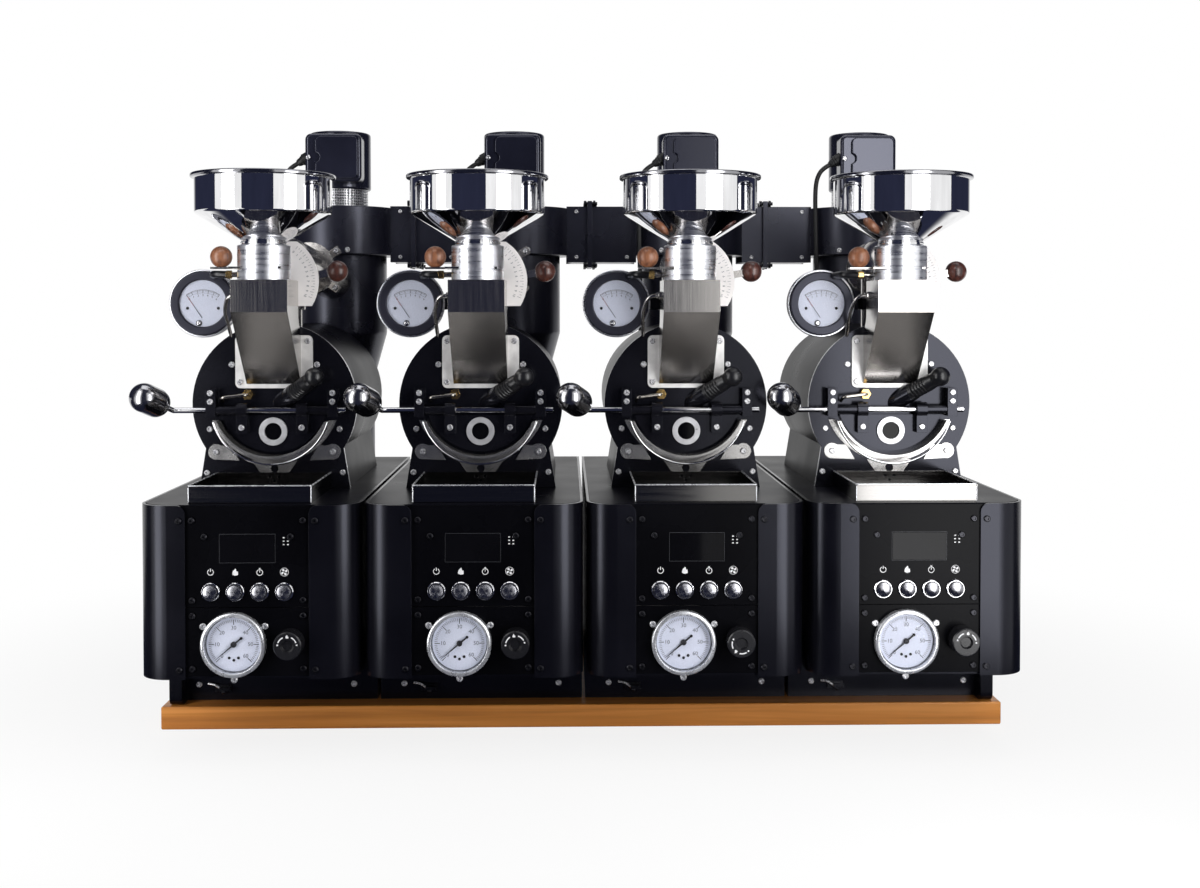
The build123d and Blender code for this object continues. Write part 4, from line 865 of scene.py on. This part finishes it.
def make_air_gauges():
    """Air gauge: flanged black case in a silver ring, on its clamp arm."""
    place = facing(AIR_X, AIR_Z, AIR_FRONT)
    case = Piece("air_gauge_cases")
    case.add(lathe(rounded((
        (0, -AIR_DEPTH), (AIR_BODY_RADIUS, -AIR_DEPTH), (AIR_BODY_RADIUS, -9), (AIR_FLANGE_RADIUS, -9),
        (AIR_FLANGE_RADIUS, -1.2), (AIR_FLANGE_RADIUS - 1.2, 0), (AIR_DIAL_RADIUS + 0.8, 0),
        (AIR_DIAL_RADIUS, -1.2), (AIR_DIAL_RADIUS, AIR_FACE), (0, AIR_FACE),
    ), 1.0), place), FLANGE_PAINT)
    case.add(lathe(rounded((
        (AIR_BODY_RADIUS, -14), (AIR_RADIUS - 1, -14), (AIR_RADIUS, -12.5), (AIR_RADIUS, -5.0),
        (AIR_RADIUS - 0.8, -4.2), (AIR_FLANGE_RADIUS + 0.1, -4.2), (AIR_FLANGE_RADIUS + 0.1, -9.2),
        (AIR_BODY_RADIUS, -9.2), (AIR_BODY_RADIUS, -14),
    ), 0.6), place), ALUMINIUM)
    case.done(replaces=GAUGES)

    top = AIR_FACE + 0.4
    dial = Piece("air_gauge_dials")
    dial.add(disc(AIR_DIAL_RADIUS - 0.1, AIR_FACE, top, place, segments=96), DIAL)
    pivot = place @ standing(0, AIR_PIVOT, 0)
    first, last = 90 + AIR_SPREAD, 90 - AIR_SPREAD
    scale_lines(dial, pivot, top, *AIR_TICKS, first, 2 * AIR_SPREAD, 30, 5, 0.5, 0.275)
    for inner, outer in AIR_ARCS:
        dial.add(arc_band(inner, outer, last, first, top, top + PRINT, pivot, steps=40), INK)
    scale_numbers(dial, pivot, top, *AIR_NUMBERS, first, 2 * AIR_SPREAD, range(7), INK)
    for x in (-17.5, 17.5):
        dial.add(lathe(screw_head(1.7, 1.0), place @ standing(x, -5.5, top), 24), INK)
    zero = place @ standing(-4.5, -22.5, top)
    dial.add(lathe(bar(3.4, 0, 0.6), zero, 32), INK)
    dial.add(lathe(screw_head(2.6, 1.1, 0.3), zero @ standing(0, 0, 0.6), 32), CHROME)
    hand = pivot @ spin(first)
    dial.add(prism(((2, -0.3), (18, -0.22), (18, 0.22), (2, 0.3)), top + 0.5, top + 0.8, hand), GREY_INK)
    dial.add(prism(((18, -0.22), (31, -0.15), (31, 0.15), (18, 0.22)), top + 0.5, top + 0.8, hand), RED_INK)
    dial.done(replaces=GAUGES)

    arm = Piece("air_gauge_arms")
    rear = AIR_FRONT + AIR_DEPTH
    left, right = AIR_X - 8, -PIPE_RADIUS - 2
    outline = ((left, rear), (right, rear), (right, rear + 4), (left, rear + 4))
    arm.add(prism(outline, AIR_Z - 7, AIR_Z + 7, Matrix.Identity(4)), COAT)
    clamp = ring(PIPE_RADIUS + 0.1, PIPE_RADIUS + 4, -7, 7)
    arm.add(lathe(clamp, standing(0, RISER_Y, AIR_Z)), STEEL)
    nipple = ((0, 0), (4.6, 0), (4.6, 4), (3.2, 5), (3.2, 7), (4, 8), (3, 12), (0, 12))
    backward = standing(AIR_X - 16, rear, AIR_Z) @ spin(-90, "X")
    arm.add(lathe(nipple, backward, 24), BRASS)
    arm.done(bevel=0.4, replaces=GAUGES)


def make_air_lines():
    """Bent steel sensing tube from the chute to the jacket, and the gauge's black elbow with its nut."""
    lines = Piece("air_lines")
    lines.add(tube(rounded(SENSE_ROUTE, 9, 6), 2.1), STEEL)
    outward = standing(*SENSE_ROUTE[0]) @ spin(-90, "Y")
    lines.add(lathe(((0, -1), (4.2, -1), (4.2, 3.4), (3.2, 4.4), (3.2, 6.5), (0, 6.5)), outward, 6), STEEL)
    lines.add(tube(rounded(ELBOW_ROUTE, 14, 6), 4.2), HANDLE)
    nut = standing(*ELBOW_ROUTE[0]) @ spin(90, "Y")
    lines.add(lathe(((0, -1), (4.6, -1), (4.6, 5), (3.4, 5.6), (0, 5.6)), nut, 6), BRASS)
    lines.add(lathe(bar(3.0, 5, 20), nut, 24), STEEL)
    lines.done()


# Blower stacks

def perforated(radius, low, high, columns, rows, place):
    """Cylinder wall of small square openings, seen from both sides."""
    points = []
    for row in range(rows + 1):
        for column in range(columns):
            x, y = polar(radius, 360 * (column + 0.5 * (row % 2)) / columns)
            points.append(place @ Vector((x, y, low + (high - low) * row / rows)))
    faces = []
    for row in range(rows):
        for column in range(columns):
            after = (column + 1) % columns
            corners = [row * columns + column, row * columns + after,
                       (row + 1) * columns + after, (row + 1) * columns + column]
            centre = sum((points[k] for k in corners), Vector()) / 4
            first = len(points)
            points += [centre.lerp(points[k], 0.62) for k in corners]
            for k in range(4):
                j = (k + 1) % 4
                faces.append([corners[k], corners[j], first + j, first + k])
    return points, faces


def make_blowers():
    """Chaff cup, cyclone, blower, cage, motor and junction box of each station."""
    place = standing(STACK_X, STACK_Y)
    cup = ((0, DECK_TOP), (CUP_RADIUS, DECK_TOP), (CUP_RADIUS, CONE_FOOT), (NECK_BORE, CONE_FOOT),
           (NECK_BORE, CONE_FOOT - SHEET), (CUP_RADIUS - SHEET, CONE_FOOT - SHEET),
           (CUP_RADIUS - SHEET, DECK_TOP + SHEET), (0, DECK_TOP + SHEET))
    cyclone = ((NECK_BORE, CONE_FOOT), (NECK_RIM, CONE_FOOT), (NECK_RIM, NECK_TOP),
               (NECK_BORE + SHEET, NECK_TOP), (CYCLONE_RADIUS, CYCLONE_LOW), (CYCLONE_RADIUS, CYCLONE_TOP),
               (CYCLONE_RADIUS - SHEET, CYCLONE_TOP), (CYCLONE_RADIUS - SHEET, CYCLONE_LOW),
               (NECK_BORE, NECK_TOP), (NECK_BORE, CONE_FOOT))
    blower = ((INLET_BORE, CYCLONE_TOP), (BLOWER_RADIUS, CYCLONE_TOP), (BLOWER_RADIUS, BLOWER_TOP),
              (CAGE_RADIUS - SHEET, BLOWER_TOP), (CAGE_RADIUS - SHEET, BLOWER_TOP - SHEET),
              (BLOWER_RADIUS - SHEET, BLOWER_TOP - SHEET), (BLOWER_RADIUS - SHEET, CYCLONE_TOP + SHEET),
              (INLET_BORE, CYCLONE_TOP + SHEET), (INLET_BORE, CYCLONE_TOP))
    stack = Piece("exhaust_stacks")
    for profile, corner in ((cup, 1.5), (cyclone, 2.0), (blower, 1.8)):
        stack.add(lathe(rounded(profile, corner), place), BLOWER_PAINT)
    stack.done(replaces=BLOWERS)

    cage = Piece("motor_cages")
    cage.add(perforated(CAGE_RADIUS, BLOWER_TOP, CAGE_TOP, 72, 7, place), SCREW_STEEL)
    cage.add(lathe(((CAGE_RADIUS - 6, BLOWER_TOP), (CAGE_RADIUS - 6, CAGE_TOP)), place, 48), MOTOR)
    for degrees in CAGE_POSTS:
        x, y = polar(CAGE_RADIUS + 1.2, degrees)
        cage.add(lathe(bar(2.4, BLOWER_TOP, CAGE_TOP), standing(STACK_X + x, STACK_Y + y), 20), SCREW_STEEL)
    cage.done(replaces=BLOWERS)

    motor = Piece("blower_motors")
    motor.add(lathe(rounded((
        (0, CAGE_TOP), (MOTOR_RADIUS - 1.5, CAGE_TOP), (MOTOR_RADIUS, CAGE_TOP + 2),
        (MOTOR_RADIUS, MOTOR_TOP), (0, MOTOR_TOP)), 4.5), place), MOTOR)
    motor.done(replaces=BLOWERS)

    front = facing(0, 0)
    middle = (JUNCTION_LOW + JUNCTION_HIGH) / 2
    box = Piece("junction_boxes")
    box.add(prism(rounded_rectangle(STACK_X, middle, JUNCTION_HALF, (JUNCTION_HIGH - JUNCTION_LOW) / 2, 8),
                  -JUNCTION_REAR, -JUNCTION_FRONT, front), MOTOR)
    box.done(bevel=4.5, replaces=BLOWERS)

    lid = Piece("junction_lids")
    outline = rounded_rectangle(LID_X, middle, *LID_HALF, LID_CORNER)
    reach = math.degrees(math.acos((LID_X - LID_HALF[0] - NOTCH_X) / NOTCH_RADIUS))
    arc = [polar(NOTCH_RADIUS, reach * (1 - k / 6)) for k in range(13)]
    notch = [(NOTCH_X + x, middle + z) for x, z in arc]
    after_left_top = 2 * (CORNER_STEPS + 1)
    outline = outline[:after_left_top] + notch + outline[after_left_top:]
    lid.add(prism(outline, -JUNCTION_FRONT, LID_PROUD - JUNCTION_FRONT, front), MOTOR)
    lid.done(bevel=2.6, replaces=BLOWERS)

    fitting = Piece("lead_glands")
    side = (standing(STACK_X - JUNCTION_HALF, LEAD_ROUTE[0][1], GLAND_Z)
            @ spin(-90 - GLAND_TILT, "Y"))
    fitting.add(lathe(((0, -6), (8, -6), (8, 4.5), (6.6, 5.2), (6.6, 7), (5.6, 8), (5.2, 11),
                       (4, GLAND_LENGTH), (0, GLAND_LENGTH)), side, 24), RUBBER)
    deck_x, deck_y, _ = LEAD_ROUTE[-1]
    fitting.add(lathe(((0, 0), (9, 0), (9, 5), (7, 6), (7, 8), (5.6, 10), (4, 15), (0, 15)),
                      standing(deck_x, deck_y, DECK_TOP), 24), RUBBER)
    fitting.done(replaces=BLOWERS)


def screw_head(radius, height, socket=0.5):
    """Profile of a round head with a hollow in its face, as (radius, height) points."""
    hollow = radius * socket
    return rounded(((0, -0.5), (radius, -0.5), (radius, height * 0.6), (radius * 0.75, height),
                    (hollow, height), (hollow * 0.9, height * 0.5), (0, height * 0.5)), radius * 0.2, 3)


def make_small_fixings():
    """Screws and bolts on the blowers, the duct and the exhaust clamp, and the plinth's latch arms."""
    bright = Piece("blower_screws")
    head = screw_head(3.4, 2.4)
    middle = (JUNCTION_LOW + JUNCTION_HIGH) / 2
    bright.add(lathe(head, facing(NOTCH_X - 8, middle, JUNCTION_FRONT), 24), CHROME)
    for degrees in BLOWER_SCREWS:
        x, y = polar(BLOWER_RADIUS, degrees)
        spot = standing(STACK_X + x, STACK_Y + y, CYCLONE_TOP + 6)
        outward = spin(degrees) @ spin(90, "Y")
        bright.add(lathe(head, spot @ outward, 20), SCREW_STEEL)
    bright.done()

    duct = Piece("duct_screws")
    for x in (DUCT_FLANGE_AT - 18, DUCT_FLANGE_AT + 50):
        for z in (DUCT_LOW + 7, DUCT_HIGH - 7):
            duct.add(lathe(screw_head(2.8, 1.8), facing(x, z, DUCT_FRONT), 20), SCREW_STEEL)
    duct.done(stations=range(STATION_COUNT - 1))

    bolts = Piece("duct_bolts")
    shank = ((0, -8), (3.8, -8), (3.8, -4.5), (2.2, -4.5), (2.2, 4.5), (4.2, 4.5), (4.2, 7.5), (2.2, 7.5),
             (2.2, 10), (0, 10))
    for z in (DUCT_LOW - 3.8, DUCT_HIGH + 3.8):
        for y in (DUCT_FRONT - 2.0, STACK_Y, 2 * STACK_Y - DUCT_FRONT - 5.0):
            across = standing(DUCT_FLANGE_AT, y, z) @ spin(90, "Y")
            bolts.add(lathe(shank, across, 12), BLACK_SCREW)
    bolts.done(stations=range(STATION_COUNT - 1))

    ears = Piece("clamp_ears")
    x, z, y = CLAMP_RING
    for degrees in (33, -36):
        spot = facing(x, z, y) @ spin(degrees)
        ears.add(prism(rounded_rectangle(CLAMP_RADIUS + 5, 0, 7.5, 5, 2), -3, 3, spot), STEEL)
        bolt = spot @ standing(CLAMP_RADIUS + 7.5, 0, 3)
        ears.add(lathe(screw_head(3.6, 3.0), bolt, 20), CHROME)
    ears.done(bevel=0.6)

    latch = Piece("latch_arms")
    latch.add(tube(rounded(LATCH_ARM, 5, 5), 1.3, 12), SCREW_STEEL)
    ball = [polar(LATCH_BALL, 15 * k - 90) for k in range(13)]
    latch.add(lathe(ball, standing(*LATCH_ARM[-1]), 24), BLACK_SCREW)
    latch.done()


# Printed marks

def flame_outline(x, y, size):
    """Outline of a small flame about a point."""
    corners = ((-0.2, -3.6), (3.2, -3.0), (2.8, 1.0), (1.4, 0.6), (0.6, 4.2), (-2.4, 1.2), (-3.2, -2.6),
               (-0.2, -3.6))
    return rounded([(x + size * u, y + size * v) for u, v in corners], 1.2 * size)[:-1]


def make_knob_marks():
    """Flame, arcs and end dots printed on the face of each gas knob, turned as the knob stands."""
    for n, turn in enumerate(KNOB_TURNS):
        piece = Piece(f"gas_knob_marks_{n + 1}", f"gas_knob_{n + 1}")
        place = facing(KNOB_X, KNOB_Z) @ spin(turn)
        low, high = KNOB_FACE, KNOB_FACE + PRINT
        piece.add(prism(flame_outline(0, KNOB_PRINT, 0.5), low, high, place), WHITE_INK)
        for start, end in ((115, 158), (22, 65)):
            piece.add(arc_band(KNOB_PRINT - 0.6, KNOB_PRINT + 0.6, start, end, low, high, place), WHITE_INK)
        for degrees in (172, 8):
            piece.add(disc(0.9, low, high, place, *polar(KNOB_PRINT, degrees)), WHITE_INK)
        piece.done(stations=[n])


def make_panel_marks():
    """Painted shade in the gaps round the buttons, icons over them, dots beside the display and a faint
    line round it.
    """
    piece = Piece("panel_marks")
    face = facing(0, 0)

    def line(x0, z0, x1, z1, width, ink=WHITE_INK):
        piece.add(stroke(x0, z0, x1, z1, width, 0, PRINT, face), ink)

    def band(x, z, inner, outer, start=0, end=360):
        piece.add(arc_band(inner, outer, start, end, 0, PRINT, face, x, z), WHITE_INK)

    for x in BUTTON_X:
        # Dark ring on the bezel round each button: painted shade of the gap
        gap_shade = ring(*BUTTON_GAP_SHADE, BUTTON_BEZEL, BUTTON_BEZEL + PRINT)
        piece.add(lathe(gap_shade, facing(x, BUTTON_Z), 48), INK)
    power, fire, timer, cooling = BUTTON_X
    band(power, ICON_Z, 2.7, 3.4, 120, 420)
    line(power, ICON_Z + 0.6, power, ICON_Z + 4.0, 0.8)
    piece.add(prism(flame_outline(fire, ICON_Z, 1.0), 0, PRINT, face), WHITE_INK)
    band(timer, ICON_Z - 0.4, 2.7, 3.4)
    line(timer, ICON_Z + 3.2, timer, ICON_Z + 4.2, 1.6)
    line(timer, ICON_Z - 0.4, timer, ICON_Z + 1.8, 0.6)
    blade = ((0.6, 0), (2.2, -8), (3.7, 16), (3.7, 48), (2.4, 58), (0.6, 0))
    for turn in range(0, 360, 90):
        spots = [polar(radius, turn + degrees) for radius, degrees in blade]
        corners = [(cooling + x, ICON_Z + z) for x, z in spots]
        piece.add(prism(rounded(corners, 1.0)[:-1], 0, PRINT, face), WHITE_INK)
    band(cooling, ICON_Z, 4.1, 4.5)
    for column in range(2):
        for row in range(3):
            x, z = DOT_X + DOT_PITCH_X * column, DOT_Z + DOT_PITCH_Z * row
            line(x - 0.9, z, x + 0.9, z, 1.1)
    middle = (DISPLAY_LOW + DISPLAY_HIGH) / 2
    half_x, half_z = DISPLAY_HALF + 0.6, (DISPLAY_HIGH - DISPLAY_LOW) / 2 + 0.6
    corners = [(sx * half_x, middle + sz * half_z) for sx, sz in ((-1, -1), (1, -1), (1, 1), (-1, 1))]
    for start, end in zip(corners, corners[1:] + corners[:1]):
        line(*start, *end, 0.35, FAINT_INK)
    piece.done()


def make_scale_marks():
    """Ticks and numbers along the edge of each damper's scale plate."""
    piece = Piece("damper_scales")
    place = facing(0, SCALE_CENTRE_Z, SCALE_FRONT)
    scale_lines(piece, place, 0, *SCALE_TICKS, SCALE_START, SCALE_SWEEP, 20, 2, 0.35, 0.35, GREY_INK)
    scale_numbers(piece, place, 0, *SCALE_NUMBERS, SCALE_START, SCALE_SWEEP, range(11), GREY_INK, True)
    piece.done()


# Studio

DIM_ROOM = (0.022, 0.025, 0.05, 1)
FILL_LIGHT = (0.25, 0.25, 0.25, 1)
FLOOR_SIZE = 60.0
LEFT_AIM = (0.78, 0.63, 0)
RIGHT_AIM = (-0.81, 0.58, 0)


def make_studio():
    """White floor, two upright soft boxes on boards at the front, one overhead, a white surround.

    Metal and paint mirror the white behind the bank; before and beside it they mirror a dim room.
    """
    bpy.context.scene.view_settings.view_transform = "Standard"
    stage_sheet("floor", (FLOOR_SIZE, FLOOR_SIZE), (0, 0, -0.0005), floor_paper())
    board("board_left", (-0.785, -0.645, 0.72), LEFT_AIM, (0.53, 1.44))
    board("board_right", (0.56, -0.865, 0.72), RIGHT_AIM, (1.17, 1.44))
    soft_box("soft_box_left", (-0.765, -0.63, 0.48), LEFT_AIM, (0.22, 0.95), 3.2)
    soft_box("soft_box_right", (0.54, -0.85, 0.48), RIGHT_AIM, (0.38, 0.95), 5.6)
    soft_box("soft_box_top", (0, -0.1, 2.4), (0, 0, -1), (2.2, 1.4), 16)
    make_surround()


def smooth(tree, value, start, end, low=0.0):
    """Soft step from a low level at the start to 1 at the end."""
    step = add_node(tree, "MapRange", {"Value": value, "From Min": start, "From Max": end, "To Min": low},
                    interpolation_type="SMOOTHSTEP")
    return step.outputs["Result"]


def combine(tree, operation, first, second):
    """Two values joined by an operation."""
    return add_node(tree, "Math", {0: first, 1: second}, operation=operation).outputs[0]


def floor_paper():
    """Paper that keeps the shadow near the bank and is plain white further out.

    Before and beside the bank, glossy rays see a dim room in its place.
    """
    material = surface("floor_paper", (0.93, 0.93, 0.93), 0.9)
    tree = material.node_tree
    spot = add_node(tree, "NewGeometry").outputs["Position"]
    away = add_node(tree, "VectorMath", {0: spot}, operation="LENGTH").outputs["Value"]
    plain = combine(tree, "MULTIPLY", smooth(tree, away, 0.45, 1.1, 0.84), seen_rays(tree))
    white = add_node(tree, "Emission")
    paper = add_node(tree, "MixShader", {0: plain, 1: tree.nodes["Principled BSDF"].outputs[0],
                                         2: white.outputs[0]})
    parts = add_node(tree, "SeparateXYZ", {0: spot})
    glossy = add_node(tree, "LightPath").outputs["Is Glossy Ray"]
    before = combine(tree, "MULTIPLY", smooth(tree, parts.outputs["Y"], 0.45, 0.15), glossy)
    dim = add_node(tree, "Emission", {"Color": DIM_ROOM})
    both = add_node(tree, "MixShader", {0: before, 1: paper.outputs[0], 2: dim.outputs[0]})
    tree.links.new(both.outputs[0], tree.nodes["Material Output"].inputs["Surface"])
    return material


def facing_along(aim):
    """Rotation that turns a lamp or board to face along a direction."""
    return Vector(aim).to_track_quat("-Z", "Y").to_euler()


def stage_sheet(name, size, place, material, rotation=(0, 0, 0)):
    """Flat rectangle of the stage, about its own middle."""
    x, y = size[0] / 2, size[1] / 2
    mesh = bpy.data.meshes.new(name)
    mesh.from_pydata([(-x, -y, 0), (x, -y, 0), (x, y, 0), (-x, y, 0)], [], [(0, 1, 2, 3)])
    mesh.materials.append(material)
    sheet = new_object(name, mesh)
    sheet.location = place
    sheet.rotation_euler = rotation
    return sheet


def board(name, place, aim, size):
    """White reflector board behind a lamp, shown by metal, glass and paint alone."""
    material = bpy.data.materials.new(name)
    material.use_nodes = True
    tree = material.node_tree
    white = add_node(tree, "Emission")
    tree.links.new(white.outputs[0], tree.nodes["Material Output"].inputs["Surface"])
    reflector = stage_sheet(name, size, place, material, facing_along(aim))
    reflector.visible_camera = False
    reflector.visible_diffuse = False
    reflector.visible_shadow = False


def soft_box(name, place, aim, size, watts):
    """Rectangular lamp facing along a direction."""
    data = bpy.data.lights.new(name, "AREA")
    data.shape = "RECTANGLE"
    data.size, data.size_y = size
    data.energy = watts
    lamp = new_object(name, data)
    lamp.location = place
    lamp.rotation_euler = facing_along(aim)
    lamp.visible_camera = False


def seen_rays(tree):
    """1 for rays that show the background: camera, glossy and transmission rays."""
    path = add_node(tree, "LightPath")
    shiny = combine(tree, "MAXIMUM", path.outputs["Is Camera Ray"], path.outputs["Is Glossy Ray"])
    return combine(tree, "MAXIMUM", shiny, path.outputs["Is Transmission Ray"])


def make_surround():
    """White background; the room beside and in front of the bank is dim and bluish."""
    studio = bpy.data.worlds.new("studio")
    bpy.context.scene.world = studio
    studio.use_nodes = True
    tree = studio.node_tree
    parts = add_node(tree, "SeparateXYZ", {0: add_node(tree, "TexCoord").outputs["Generated"]})
    behind = smooth(tree, parts.outputs["Y"], 0.72, 0.97)
    camera = add_node(tree, "LightPath").outputs["Is Camera Ray"]
    room = add_node(tree, "ValToRGB", {"Fac": combine(tree, "MAXIMUM", behind, camera)})
    room.color_ramp.elements[0].color = DIM_ROOM
    room.color_ramp.elements[1].color = (1, 1, 1, 1)
    level = add_node(tree, "MixRGB", {"Fac": seen_rays(tree), "Color1": FILL_LIGHT,
                                      "Color2": room.outputs["Color"]})
    tree.links.new(level.outputs["Color"], tree.nodes["Background"].inputs["Color"])


make_camera()
make_leads()
dress_frame()
make_hoppers()
make_bright_edges()
make_gas_gauges()
make_air_gauges()
make_blowers()
make_small_fixings()
make_air_lines()
make_panel_marks()
make_knob_marks()
make_scale_marks()
make_studio()
